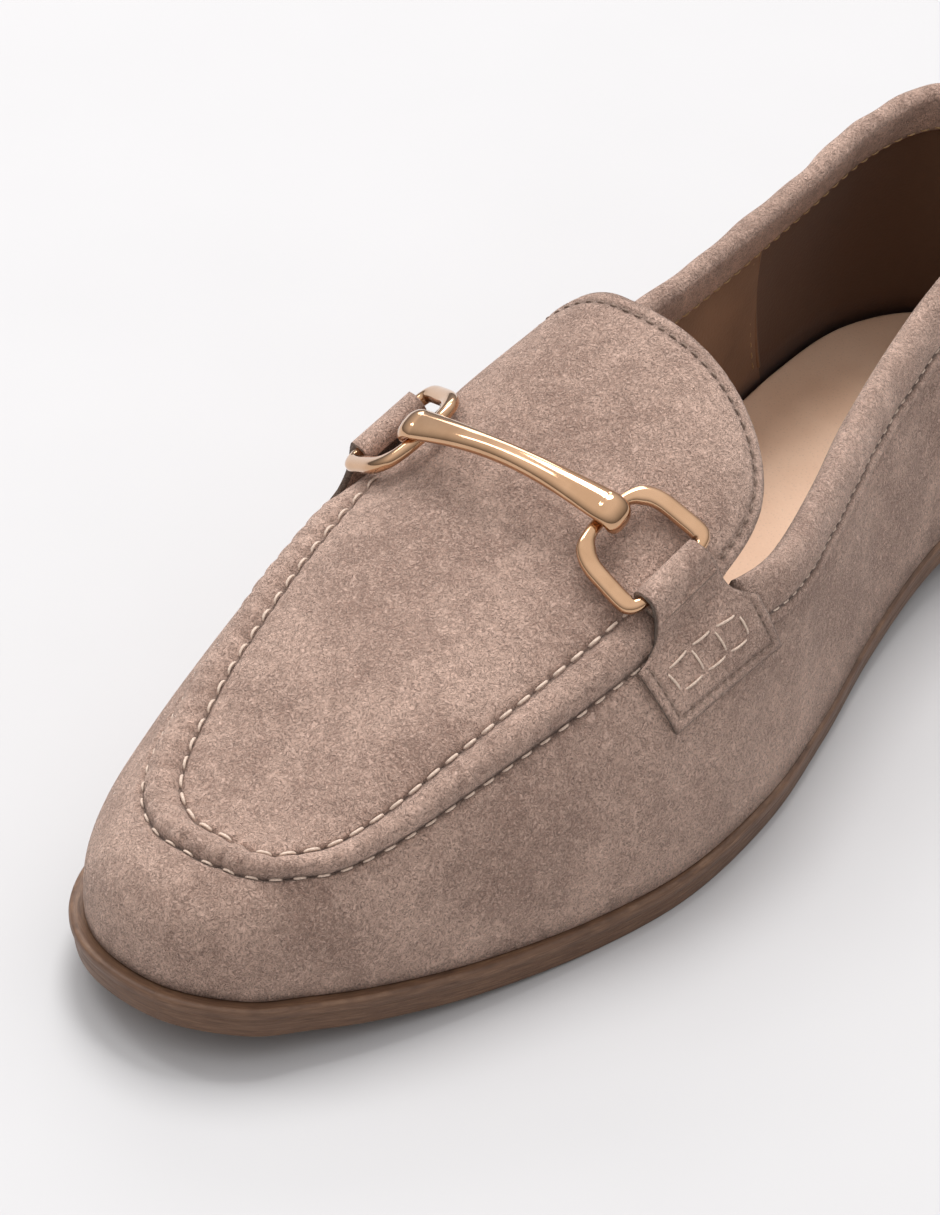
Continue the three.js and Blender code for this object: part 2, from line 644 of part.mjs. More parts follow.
// The instep falls away faster on the inner side, so there the outline is shorter seen from above.
const INNER_SHORTENING = 0.78;
function makeTab(side) {
  const { forward, pin } = ringFrame(side);
  const reach = side > 0 ? 1 : INNER_SHORTENING;
  const cut = (table, thickness) => {
    const outline = table.back.map((share, i) => [share * FOLD_WIDTH, table.down[i] * reach * FOLD_WIDTH]);
    return lastForm(GAP + thickness, 0, true).intersect(ringPrism(outline, side));
  };
  const rod = (radius, width) => {
    const end = width / 2;
    return turned([[0, -end], [radius, -end], [radius, end], [0, end]], pin, forward, FOLD_SEGMENTS);
  };
  const patch = cut(TAB_BASE, TAB_THICKNESS).add(cut(TAB_NECK, NECK_THICKNESS));
  const strap = patch.add(rod(FOLD_RADIUS, FOLD_WIDTH)).subtract(liner);
  return strap.subtract(rod(FOLD_BORE, 2 * FOLD_WIDTH)).subtract(makeRing(side, GAP));
}

const nodes = {
  outsole: makeOutsole(),
  heel: makeHeel(),
  insole: makeInsole(),
  upper: makeUpper(),
  collar: makeCollar(),
  tab_outer: makeTab(1),
  tab_inner: makeTab(-1),
  ring_outer: makeRing(1, 0),
  ring_inner: makeRing(-1, 0),
  bar: makeBar(),
};

const MATERIALS = {
  suede: { color: 0x9a8272, roughness: 0.95, metalness: 0 },
  edge: { color: 0x7a6353, roughness: 0.6, metalness: 0 },
  leather: { color: 0xb89478, roughness: 0.6, metalness: 0 },
  gold: { color: 0xd9b98c, roughness: 0.2, metalness: 1 },
};
const MATERIAL_OF = {
  outsole: "edge",
  heel: "edge",
  insole: "leather",
  upper: "suede",
  collar: "suede",
  tab_outer: "suede",
  tab_inner: "suede",
  ring_outer: "gold",
  ring_inner: "gold",
  bar: "gold",
};

const shoe = new THREE.Group();
for (const [name, solid] of Object.entries(nodes)) {
  const material = new THREE.MeshStandardMaterial(MATERIALS[MATERIAL_OF[name]]);
  const mesh = new THREE.Mesh(geometryFrom(solid), material);
  mesh.name = name;
  shoe.add(mesh);
}

export default shoe;
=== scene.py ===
import math
import bpy
import bmesh
import numpy as np
from mathutils import Matrix, Vector


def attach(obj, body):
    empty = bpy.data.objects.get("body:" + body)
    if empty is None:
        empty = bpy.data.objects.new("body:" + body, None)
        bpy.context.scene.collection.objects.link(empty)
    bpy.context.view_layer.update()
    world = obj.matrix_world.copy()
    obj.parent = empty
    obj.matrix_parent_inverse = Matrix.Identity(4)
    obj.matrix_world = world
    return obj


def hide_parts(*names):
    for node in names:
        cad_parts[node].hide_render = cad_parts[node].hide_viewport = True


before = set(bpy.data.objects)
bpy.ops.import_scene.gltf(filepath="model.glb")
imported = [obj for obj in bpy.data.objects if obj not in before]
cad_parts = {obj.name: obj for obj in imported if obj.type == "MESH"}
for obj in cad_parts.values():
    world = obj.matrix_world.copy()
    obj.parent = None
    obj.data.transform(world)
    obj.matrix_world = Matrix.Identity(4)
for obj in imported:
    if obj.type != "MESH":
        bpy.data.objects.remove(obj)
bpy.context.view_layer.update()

# Sizes of the shoe in millimetres. Toe towards -Y, outer side towards +X, floor at z 0
MM = 0.001
LENGTH = 260.5
BALL_WIDTH = 91
INSTEP_HEIGHT = 84
COLLAR_HEIGHT = 71
SEAT_RISE = 7
TOE_SPRING = 8
SOLE_THICKNESS = 6.3
LEDGE = 2.5
WALL = 1.6
ROLL_HEIGHT = 1.9
ROLL_ANGLE = 0.21
GAP = 0.3
STEPS = 14
QUARTER = math.pi / 2

# Outline of the sole from toe tip to heel tip: along as a share of LENGTH, wide as a share of BALL_WIDTH
OUTER_ALONG = [
    0.002, 0.029, 0.067, 0.109, 0.178, 0.274, 0.359, 0.459, 0.553, 0.647, 0.743, 0.839, 0.925, 0.985, 1,
]
OUTER_WIDE = [
    -0.016, 0.132, 0.209, 0.28, 0.368, 0.456, 0.5, 0.484, 0.423, 0.352, 0.308, 0.308, 0.28, 0.165, -0.016,
]
INNER_ALONG = [
    0.002, 0.007, 0.038, 0.092, 0.175, 0.274, 0.359, 0.453, 0.549, 0.645, 0.743, 0.839, 0.925, 0.985, 1,
]
INNER_WIDE = [
    -0.016, -0.192, -0.324, -0.412, -0.467, -0.5, -0.484, -0.429, -0.374, -0.335, -0.324, -0.33, -0.308,
    -0.198, -0.016,
]

# Arches of the last: ridge as a share of INSTEP_HEIGHT, axis and swells as shares of BALL_WIDTH
ARCH_ALONG = [0.105, 0.14, 0.167, 0.205, 0.301, 0.39, 0.474, 0.57, 0.647, 0.724, 0.82, 0.869, 0.904]
RIDGE = [0.443, 0.483, 0.52, 0.58, 0.68, 0.775, 0.89, 1, 1.07, 1.115, 1.145, 1.16, 1.17]
AXIS = [0.036, 0.032, 0.022, 0.006, -0.022, -0.047, -0.077, -0.104, -0.082, -0.06, -0.044, -0.033, -0.022]
OUTER_LEAN = [0.82, 0.8, 0.77, 0.72, 0.61, 0.51, 0.5, 1, 1.65, 2.25, 2.7, 1.9, 0.7]
INNER_LEAN = [0.82, 0.8, 0.77, 0.72, 0.62, 0.61, 0.76, 1.2, 1.45, 1.8, 2.5, 1.9, 0.7]
CROWN = [0.855, 0.86, 0.865, 0.87, 0.87, 0.86, 0.85, 0.84, 0.84, 0.85, 0.85, 0.85, 0.85]
OUTER_SWELL = [0.008, 0.003, 0, 0, 0, 0.006, 0.013, 0.02, 0.019, 0.016, 0.013, 0.009, 0.006]
INNER_SWELL = [0.008, 0.016, 0.022, 0.023, 0.024, 0.022, 0.022, 0.022, 0.02, 0.016, 0.013, 0.009, 0.006]

# Lower edge of the rolled seam round the plug, as an arch angle at each outline step
SEAM_STEP = [0, 0.8, 1.5, 2.5, 3.7, 4.8, 6.2]
SEAM_OUTER = [1.09, 1, 0.92, 0.81, 0.8, 0.84, 0.86]
SEAM_INNER = [1.09, 1.05, 0.96, 0.87, 0.86, 0.89, 0.92]
ROLL_END_STEP = 6.2
ROLL_FADE_STEPS = 0.5

# Top line of the quarters from the side, and the tongue's end from above
TOP_ALONG = [0.39, 0.455, 0.53, 0.608, 0.704, 0.8, 0.896, 1.05]
TOP_HEIGHT = [0.775, 0.752, 0.745, 0.755, 0.79, 0.855, 0.93, 1]
TONGUE_ROOT = (0.424 - 0.5) * LENGTH
TONGUE_DEPTH = 0.114 * LENGTH
TONGUE_HALF = 0.46 * BALL_WIDTH
TONGUE_CENTRE = -0.07 * BALL_WIDTH
TONGUE_SQUARENESS = 2.8


def along(rows, values, s):
    """Value of a table at s: a cubic between rows, each row's slope taken from the rows on its two sides."""
    rows, values = np.asarray(rows, float), np.asarray(values, float)
    before = np.maximum(np.arange(len(rows)) - 1, 0)
    after = np.minimum(np.arange(len(rows)) + 1, len(rows) - 1)
    slope = (values[after] - values[before]) / (rows[after] - rows[before])
    s = np.clip(s, rows[0], rows[-1])
    i = np.clip(np.searchsorted(rows, s, side="right") - 1, 0, len(rows) - 2)
    h = rows[i + 1] - rows[i]
    t = (s - rows[i]) / h
    start = (2 * t**3 - 3 * t**2 + 1) * values[i] + (t**3 - 2 * t**2 + t) * h * slope[i]
    return start + (3 * t**2 - 2 * t**3) * values[i + 1] + (t**3 - t**2) * h * slope[i + 1]


def smooth(t):
    """Soft step from 0 to 1 as t goes from 0 to 1."""
    t = np.clip(t, 0, 1)
    return t * t * (3 - 2 * t)


def share_at(y):
    """Place along the shoe as a share of its length, 0 at the toe."""
    return np.asarray(y) / LENGTH + 0.5


OUTLINE = np.concatenate([
    np.stack([np.array(OUTER_WIDE) * BALL_WIDTH, (np.array(OUTER_ALONG) - 0.5) * LENGTH], 1),
    np.stack([np.array(INNER_WIDE) * BALL_WIDTH, (np.array(INNER_ALONG) - 0.5) * LENGTH], 1)[-2:0:-1],
])


def outline(step, side):
    """Point (x, y) and outward direction of the sole's outline: a cubic through its points.

    The slope at a point is half the way from the point before it to the point after."""
    count = len(OUTLINE)
    t = np.where(side > 0, step, count - step) % count
    i = np.floor(t).astype(int)
    f = (t - i)[..., None]
    p0, p1, p2, p3 = (OUTLINE[(i + k) % count] for k in (-1, 0, 1, 2))
    m1, m2 = (p2 - p0) / 2, (p3 - p1) / 2
    point = (2 * f**3 - 3 * f**2 + 1) * p1 + (f**3 - 2 * f**2 + f) * m1
    point = point + (3 * f**2 - 2 * f**3) * p2 + (f**3 - f**2) * m2
    run = (6 * f**2 - 6 * f) * (p1 - p2) + (3 * f**2 - 4 * f + 1) * m1 + (3 * f**2 - 2 * f) * m2
    run = run / np.linalg.norm(run, axis=-1, keepdims=True)
    return point, np.stack([run[..., 1], -run[..., 0]], -1)


def underside(y):
    """Height of the sole's underside: toe spring in front, and the seat's rise behind the arch."""
    s = share_at(y)
    spring = TOE_SPRING * np.maximum(0, 1 - s / 0.301) ** 1.8
    return spring + SEAT_RISE * smooth((s - 0.55) / 0.35)


def ledge_at(y):
    """How far the sole's rim stands beyond the upper, most at the toe."""
    return LEDGE * np.clip(1.17 - 1.74 * share_at(y), 0.25, 1.1)


def spine_at(step):
    """Station of the spine for an outline step: near toe and heel it lags, so that the arches fan out."""
    middle = share_at((outline(step, 1)[0][..., 1] + outline(step, -1)[0][..., 1]) / 2)
    toe = np.maximum(0, 1 - middle / 0.32)
    heel = np.maximum(0, (middle - 0.697) / 0.307)
    return middle + 0.115 * toe**2 - 0.1 * heel**2


def last(step, side, angle):
    """Point of the last: an arch from the outline (angle 0) to the spine (a quarter turn).

    Across, the arch is a cosine to the power of its lean, plus a swell; in height, a sine to the power of its
    crown. A tilt carries the ridge's slope a little way down the flanks."""
    step, side, angle = np.broadcast_arrays(np.asarray(step, float), side, angle)
    edge, out = outline(step, side)
    foot = edge - out * ledge_at(edge[..., 1])[..., None]
    fz = SOLE_THICKNESS + underside(foot[..., 1]) + GAP
    s = spine_at(step)
    spine = np.stack([along(ARCH_ALONG, AXIS, s) * BALL_WIDTH, (s - 0.5) * LENGTH], -1)
    sz = along(ARCH_ALONG, RIDGE, s) * INSTEP_HEIGHT
    outer = side > 0
    swell = np.where(outer, along(ARCH_ALONG, OUTER_SWELL, s), along(ARCH_ALONG, INNER_SWELL, s))
    lean = np.where(outer, along(ARCH_ALONG, OUTER_LEAN, s), along(ARCH_ALONG, INNER_LEAN, s))
    reach = np.linalg.norm(foot - spine, axis=-1)
    k = np.maximum(0, np.cos(angle)) ** lean + swell * BALL_WIDTH * np.sin(2 * angle) / reach
    g = np.sin(angle) ** along(ARCH_ALONG, CROWN, s)
    rise = along(ARCH_ALONG, RIDGE, s + 0.01) - along(ARCH_ALONG, RIDGE, s - 0.01)
    slope = rise * INSTEP_HEIGHT / (0.02 * LENGTH)
    tilt = slope * (foot[..., 1] - spine[..., 1]) * k * np.maximum(0, 1 - k) ** 1.5
    plan = spine + (foot - spine) * k[..., None]
    return np.concatenate([plan, (fz + (sz - fz) * g + tilt)[..., None]], -1)


def unit(v):
    """Vectors of length one."""
    return v / np.maximum(np.linalg.norm(v, axis=-1, keepdims=True), 1e-9)


def facing(step, side, angle):
    """Outward direction of the last, from the run of its surface along the shoe and up the arch."""
    h = 0.01
    up = last(step, side, angle + h) - last(step, side, angle - h)
    back = last(step + h, side, angle) - last(step - h, side, angle)
    return unit(np.cross(back, up) * np.asarray(side, float)[..., None])


def lifted(step, side, angle, lift):
    """Point above the last by a height along its outward direction."""
    side = np.broadcast_to(side, np.broadcast(step, side, angle).shape)
    return last(step, side, angle) + facing(step, side, angle) * np.asarray(lift)[..., None]


def find(first, second, a, b, side, step, angle):
    """Step and angle where the last lies at distance a along one direction and b along another.

    Newton's steps on both unknowns, each held to a small stride."""
    a, b = np.broadcast_arrays(np.asarray(a, float), np.asarray(b, float))
    step, angle = np.full(a.shape, float(step)), np.full(a.shape, float(angle))
    side = np.broadcast_to(side, a.shape)
    h = 1e-3
    for _ in range(30):
        p = last(step, side, angle)
        ds = (last(step + h, side, angle) - p) / h
        da = (last(step, side, angle - h) - p) / -h
        ma, mb = p @ first - a, p @ second - b
        saa, sab, sba, sbb = ds @ first, da @ first, ds @ second, da @ second
        size = saa * sbb - sab * sba
        size = np.where(np.abs(size) < 1e-6, 1e-6, size)
        step = step - np.clip((ma * sbb - mb * sab) / size, -0.3, 0.3)
        angle = angle - np.clip((mb * saa - ma * sba) / size, -0.1, 0.1)
        angle = np.clip(angle, 0.02, QUARTER - 2e-3)
        step = np.clip(step, 0.02, STEPS - 0.02)
    p = last(step, side, angle)
    return step, angle, np.abs(p @ first - a) + np.abs(p @ second - b)


X, Y, Z = np.eye(3)


# Meshes and rows of stitches
def grid_faces(rows, columns, round_rows=False, round_columns=False, flip=False):
    """Four-sided faces of a grid of points; a round direction joins its last line to its first."""
    r = np.arange(rows if round_rows else rows - 1)
    c = np.arange(columns if round_columns else columns - 1)
    r, c = np.meshgrid(r, c, indexing="ij")
    r2, c2 = (r + 1) % rows, (c + 1) % columns
    faces = np.stack([r * columns + c, r * columns + c2, r2 * columns + c2, r2 * columns + c], -1)
    faces = faces.reshape(-1, 4)
    return faces[:, ::-1] if flip else faces


def piece(name, points, faces, finishes, replaced=(), uv=None, merge=True, crease=None):
    """A mesh from points in millimetres and lists of faces, merged at its seams, riding on the shoe.

    crease is the shade painted at each point, 0 to 1."""
    points = np.asarray(points, float).reshape(-1, 3) * MM
    faces = faces if isinstance(faces, list) else [faces]
    sizes = np.concatenate([np.full(len(f), f.shape[1]) for f in faces])
    corners = np.concatenate([f.ravel() for f in faces]).astype(np.int32)
    mesh = bpy.data.meshes.new(name)
    mesh.vertices.add(len(points))
    mesh.vertices.foreach_set("co", points.ravel().astype(np.float32))
    mesh.loops.add(len(corners))
    mesh.loops.foreach_set("vertex_index", corners)
    mesh.polygons.add(len(sizes))
    mesh.polygons.foreach_set("loop_start", np.concatenate([[0], np.cumsum(sizes)[:-1]]).astype(np.int32))
    mesh.update(calc_edges=True)
    if uv is not None:
        layer = mesh.uv_layers.new(name="run")
        layer.data.foreach_set("uv", np.asarray(uv, np.float32).reshape(-1, 2)[corners].ravel())
    if crease is not None:
        mark = mesh.attributes.new("crease", "FLOAT", "POINT")
        mark.data.foreach_set("value", np.asarray(crease, np.float32).ravel())
    if merge:
        soft = bmesh.new()
        soft.from_mesh(mesh)
        bmesh.ops.remove_doubles(soft, verts=soft.verts, dist=2e-6)
        soft.to_mesh(mesh)
        soft.free()
    mesh.polygons.foreach_set("use_smooth", np.ones(len(mesh.polygons), bool))
    for finish in finishes if isinstance(finishes, list) else [finishes]:
        mesh.materials.append(finish)
    made = bpy.data.objects.new(name, mesh)
    bpy.context.scene.collection.objects.link(made)
    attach(made, "root")
    if replaced:
        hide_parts(*replaced)
    return made


def end_cap(start, count, flip):
    """Four-sided strips that close a loop of points, from its first point and its last towards its middle."""
    c = np.arange(count // 2 - 1)
    quads = np.stack([c, c + 1, count - 2 - c, count - 1 - c], -1) + start
    return quads[:, ::-1] if flip else quads


def tube(loops, flip=False):
    """Points and faces of loops of points joined one to the next, closed at both ends."""
    rows, count = loops.shape[:2]
    around = grid_faces(rows, count, round_columns=True, flip=flip)
    caps = [end_cap(0, count, not flip), end_cap((rows - 1) * count, count, flip)]
    return loops.reshape(-1, 3), [around, *caps]


CUT_SNAP = 0.04


def kept(points, quads, value):
    """The part of a surface where value is not above 0: each crossed triangle is cut where value is 0.

    A point within CUT_SNAP millimetres of the cut counts as inside, so that no sliver is left."""
    tris = np.concatenate([quads[:, [0, 1, 2]], quads[:, [0, 2, 3]]])
    value = np.where(np.abs(value) < CUT_SNAP, -1e-4, value)
    inside = value[tris] <= 0
    count = inside.sum(1)
    whole = tris[count == 3]
    cut = tris[(count == 1) | (count == 2)]
    lone = np.where((value[cut] <= 0).sum(1) == 1, (value[cut] <= 0).argmax(1), (value[cut] > 0).argmax(1))
    row = np.arange(len(cut))
    a, b, c = (cut[row, (lone + k) % 3] for k in range(3))
    edges = np.sort(np.concatenate([np.stack([a, b], 1), np.stack([a, c], 1)]), 1)
    unique, place = np.unique(edges, axis=0, return_inverse=True)
    place = place.reshape(-1)
    va, vb = value[unique[:, 0]], value[unique[:, 1]]
    t = (va / (va - vb))[:, None]
    fresh = points[unique[:, 0]] * (1 - t) + points[unique[:, 1]] * t
    ab, ac = place[: len(cut)] + len(points), place[len(cut):] + len(points)
    tip = value[a] <= 0
    tips = np.stack([a, ab, ac], 1)[tip]
    stubs = np.stack([ab, b, c, ac], 1)[~tip]
    pieces = np.concatenate([whole, tips, stubs[:, [0, 1, 2]], stubs[:, [0, 2, 3]]])
    points = np.concatenate([points, fresh])
    used, place = np.unique(pieces, return_inverse=True)
    return points[used], place.reshape(-1, 3)


# A stitch from hole to hole: places along it, and its rise and thickness there, as shares of bow and radius
STITCH_ALONG = np.array([0, 0.06, 0.22, 0.5, 0.78, 0.94, 1])
STITCH_RISE = np.array([-0.9, -0.2, 0.65, 1, 0.65, -0.2, -0.9])
STITCH_THICK = np.array([0.35, 0.8, 1, 1.05, 1, 0.8, 0.35])


def stitches(name, holes, ends, out, radius, bow, finish):
    """Short threads from holes to ends: each a bowed rod of six sides that dips at both ends."""
    t, rise, thick = STITCH_ALONG, STITCH_RISE * bow, STITCH_THICK * radius
    run = unit(ends - holes)
    across = unit(np.cross(run, out))
    middle = holes[:, None] * (1 - t)[:, None] + ends[:, None] * t[:, None] + out[:, None] * rise[:, None]
    a = np.arange(6) * math.pi / 3
    ring = np.cos(a)[:, None] * across[:, None, None] + 0.8 * np.sin(a)[:, None] * out[:, None, None]
    loops = middle[:, :, None] + ring * thick[None, :, None, None]
    count = len(holes)
    base = grid_faces(len(t), 6, round_columns=True)
    caps = np.concatenate([end_cap(0, 6, True), end_cap((len(t) - 1) * 6, 6, False)])
    faces = np.concatenate([base, caps])
    faces = (faces[None] + (np.arange(count) * len(t) * 6)[:, None, None]).reshape(-1, 4)
    piece(name, loops, faces, finish, merge=False)


def run_length(line):
    """Length along a line of points, from its first point."""
    return np.concatenate([[0], np.cumsum(np.linalg.norm(np.diff(line, axis=0), axis=1))])


def spaced(curve, pitch, *others):
    """Points at an even pitch along a curve, and the same places on curves that run with it."""
    length = run_length(curve)
    count = max(2, int(round(length[-1] / pitch)) + 1)
    at = np.linspace(0, length[-1], count)
    return [np.stack([np.interp(at, length, c[:, k]) for k in range(3)], 1) for c in (curve, *others)]


def between(points, out, fill):
    """Holes, ends and outward directions of stitches that each fill a share of the way to the next point."""
    gap = np.diff(points, axis=0) * ((1 - fill) / 2)
    return points[:-1] + gap, points[1:] - gap, unit(out[:-1] + out[1:])


def sew(name, curve, out, pitch, fill, radius, bow, finish):
    """A row of stitches along a curve; each fills a share of the pitch."""
    points, out = spaced(curve, pitch, out)
    stitches(name, *between(points, out, fill), radius, bow, finish)


# Finishes
class Finish:
    """A material with short ways to add the nodes of its colour and relief."""

    def __init__(self, name, **sockets):
        self.material = bpy.data.materials.new(name)
        self.material.use_nodes = True
        self.nodes = self.material.node_tree.nodes
        self.links = self.material.node_tree.links
        self.shader = self.nodes["Principled BSDF"]
        for socket, value in sockets.items():
            self.shader.inputs[socket.replace("_", " ")].default_value = value
        self.place = self.nodes.new("ShaderNodeTexCoord").outputs["Object"]

    def put(self, kind, settings=None, **inputs):
        """A node with its settings and its inputs, which are values or other nodes' outputs.

        An input goes by its name, or by its number after a low line."""
        node = self.nodes.new(kind)
        for key, value in (settings or {}).items():
            setattr(node, key, value)
        for key, value in inputs.items():
            socket = node.inputs[int(key[1:])] if key[0] == "_" else node.inputs[key.replace("_", " ")]
            if isinstance(value, bpy.types.NodeSocket):
                self.links.new(value, socket)
            else:
                socket.default_value = value
        return node

    def noise(self, size, detail, rough=0.55, twist=0.0, place=None):
        """Cloudy noise whose blots are about size millimetres wide."""
        return self.put(
            "ShaderNodeTexNoise", Vector=place or self.place, Scale=1 / (size * MM), Detail=detail,
            Roughness=rough, Distortion=twist,
        ).outputs["Fac"]

    def cells(self, size):
        """Distance to scattered points about size millimetres apart."""
        return self.put(
            "ShaderNodeTexVoronoi", {"feature": "F1"}, Vector=self.place, Scale=1 / (size * MM)
        ).outputs["Distance"]

    def ramp(self, value, *stops):
        """Colours or greys at places along a value."""
        node = self.put("ShaderNodeValToRGB", Fac=value)
        ramp = node.color_ramp
        while len(ramp.elements) < len(stops):
            ramp.elements.new(0.5)
        for element, (place, colour) in zip(ramp.elements, stops):
            element.position = place
            element.color = (*colour, 1) if isinstance(colour, tuple) else (colour, colour, colour, 1)
        return node.outputs["Color"]

    def mix(self, amount, first, second):
        """Two colours mixed by an amount."""
        return self.put(
            "ShaderNodeMix", {"data_type": "RGBA", "blend_type": "MIX"}, _0=amount, _6=first, _7=second
        ).outputs[2]

    def sum(self, first, second, kind="ADD"):
        """Two values added, multiplied or the like."""
        return self.put("ShaderNodeMath", {"operation": kind}, _0=first, _1=second).outputs[0]

    def bump(self, height, depth, strength, under=None):
        """Relief of a depth in millimetres, over an earlier relief."""
        inputs = {"Height": height, "Distance": depth * MM, "Strength": strength}
        if under is not None:
            inputs["Normal"] = under
        return self.put("ShaderNodeBump", **inputs).outputs["Normal"]

    def set(self, **sockets):
        """Joins outputs to the shader's sockets."""
        for socket, output in sockets.items():
            self.links.new(output, self.shader.inputs[socket.replace("_", " ")])
        return self.material


def suede(name, light, dark, nap=1.0):
    """Napped suede: cloudy brushing marks, worm-like strokes of the nap, scattered dark pits and painted
    shade.
    """
    f = Finish(
        name, Roughness=0.95, Specular_IOR_Level=0.15, Sheen_Weight=0.35, Sheen_Roughness=0.55,
        Sheen_Tint=(1, 0.9, 0.82, 1),
    )
    brushed = f.noise(26, 3, 0.5, 0.8)
    patches = f.noise(7, 3, 0.55, 1.2)
    strokes = f.noise(1.1, 3, 0.6, 2.8)
    swirls = f.noise(3.4, 4, 0.6, 3.2)
    fibres = f.noise(0.42, 3, 0.6, 1.0)
    pits = f.cells(2.3)
    cloud = f.sum(f.sum(brushed, 0.6, "MULTIPLY"), f.sum(patches, 0.4, "MULTIPLY"))
    base = f.mix(f.ramp(cloud, (0.39, 0.0), (0.61, 1.0)), (*dark, 1), (*light, 1))
    base = f.mix(f.ramp(swirls, (0.4, 0.26), (0.52, 0.0)), base, (*[v * 0.7 for v in dark], 1))
    worn = f.mix(f.ramp(strokes, (0.36, 0.7), (0.5, 0.0)), base, (*[v * 0.5 for v in dark], 1))
    pale = f.mix(f.ramp(strokes, (0.5, 0.0), (0.66, 0.55)), worn, (*[v * 1.05 + 0.1 for v in light], 1))
    specked = f.mix(f.ramp(pits, (0.04, 0.75), (0.11, 0.0)), pale, (*[v * 0.3 for v in dark], 1))
    grain = f.mix(f.ramp(fibres, (0.35, 0.3), (0.6, 0.0)), specked, (*[v * 0.6 for v in dark], 1))
    # Painted shade: the crease attribute darkens the colour in creases, seam hollows, stitch holes and along
    # edges.
    painted_shade = f.put("ShaderNodeAttribute", {"attribute_name": "crease"}).outputs["Fac"]
    colour = f.mix(f.ramp(painted_shade, (0.0, 0.0), (1.0, 0.92)), grain, (*[v * 0.16 for v in dark], 1))
    relief = f.bump(patches, 0.8 * nap, 0.5)
    relief = f.bump(swirls, 0.8 * nap, 0.6, relief)
    relief = f.bump(strokes, 0.75 * nap, 1.0, relief)
    relief = f.bump(fibres, 0.3 * nap, 1.0, relief)
    return f.set(Base_Color=colour, Normal=relief)


def stacked_edge():
    """Side of the sole: thin leather layers as long fine streaks, with broad darker blots."""
    f = Finish("sole_edge", Roughness=0.52, Specular_IOR_Level=0.4, Coat_Weight=0.15, Coat_Roughness=0.35)
    run = f.put("ShaderNodeUVMap", {"uv_map": "run"}).outputs["UV"]
    wide = f.put("ShaderNodeMapping", {"vector_type": "POINT"}, Vector=run, Scale=(0.05, 1, 1)).outputs[0]
    streaks = f.noise(0.32, 5, 0.7, 0.1, wide)
    layers = f.noise(1.1, 2, 0.5, 0.0, wide)
    blots = f.noise(14, 3, 0.6)
    dark, mid, pale = (0.058, 0.028, 0.016), (0.16, 0.083, 0.046), (0.31, 0.178, 0.1)
    colour = f.ramp(streaks, (0.3, dark), (0.5, mid), (0.72, pale))
    colour = f.mix(f.ramp(layers, (0.35, 0.5), (0.65, 0.0)), colour, (*mid, 1))
    colour = f.mix(f.ramp(blots, (0.4, 0.3), (0.65, 0.0)), colour, (0.09, 0.048, 0.03, 1))
    relief = f.bump(streaks, 0.1, 0.6)
    rough = f.ramp(streaks, (0.3, 0.62), (0.7, 0.45))
    return f.set(Base_Color=colour, Normal=relief, Roughness=rough)


# The heel lining's front edge: its place along the shoe at the floor, and its lean forward with height
LINING_SEAM = 88.6
LINING_SLANT = 0.24


def smooth_leather(name, light, dark, rough, heel=None):
    """Fine pored leather with a little cloudiness, and a darker one behind the seam of the heel lining."""
    f = Finish(name, Roughness=rough, Specular_IOR_Level=0.4, Sheen_Weight=0.1, Sheen_Roughness=0.5)
    clouds = f.noise(16, 3, 0.5)
    pores = f.cells(0.7)
    colour = f.mix(f.ramp(clouds, (0.35, 0.0), (0.65, 1.0)), (*dark, 1), (*light, 1))
    if heel:
        spot = f.put("ShaderNodeSeparateXYZ", _0=f.place)
        line = f.sum(spot.outputs["Y"], f.sum(spot.outputs["Z"], LINING_SLANT, "MULTIPLY"))
        behind = f.sum(line, LINING_SEAM * MM, "GREATER_THAN")
        colour = f.mix(behind, colour, (*heel, 1))
    colour = f.mix(f.ramp(pores, (0.1, 0.25), (0.3, 0.0)), colour, (*[v * 0.6 for v in dark], 1))
    relief = f.bump(pores, 0.08, 0.5)
    relief = f.bump(f.noise(3, 3), 0.12, 0.4, relief)
    return f.set(Base_Color=colour, Normal=relief)


def thread_finish(name, light, dark):
    """Waxed thread with the fine turns of its twist, between the given light and dark tones."""
    f = Finish(name, Roughness=0.6, Specular_IOR_Level=0.35, Sheen_Weight=0.2, Sheen_Roughness=0.4)
    twist = f.noise(0.35, 2, 0.5)
    colour = f.mix(f.ramp(twist, (0.35, 0.0), (0.65, 1.0)), (*dark, 1), (*light, 1))
    return f.set(Base_Color=colour, Normal=f.bump(twist, 0.06, 0.6))


def polished_gold():
    """Plated metal with a hairline haze."""
    f = Finish("pale_gold", Metallic=1.0, Coat_Weight=0.6, Coat_Roughness=0.04)
    haze = f.noise(9, 4, 0.6)
    colour = f.mix(f.ramp(haze, (0.35, 0.0), (0.65, 1.0)), (0.56, 0.33, 0.18, 1), (0.66, 0.405, 0.235, 1))
    rough = f.ramp(haze, (0.35, 0.07), (0.7, 0.13))
    return f.set(Base_Color=colour, Roughness=rough)


# A light and a dark tone of each colour
TAUPE = (0.8, 0.545, 0.432), (0.455, 0.288, 0.222)
CUT_TAUPE = (0.42, 0.29, 0.22), (0.25, 0.165, 0.12)
TAN = (0.93, 0.63, 0.44), (0.85, 0.55, 0.37)
BROWN = (0.25, 0.14, 0.078), (0.18, 0.098, 0.053)
HEEL_BROWN = (0.105, 0.05, 0.025)
PALE_THREAD = (0.8, 0.64, 0.52), (0.58, 0.44, 0.35)
GOLDEN_THREAD = (0.5, 0.33, 0.17), (0.34, 0.21, 0.1)
# Thread darkened well below its own colour to stand in for the shade of its stitch holes: painted shade.
HOLE_SHADE_THREAD = (0.3, 0.21, 0.16), (0.17, 0.115, 0.085)

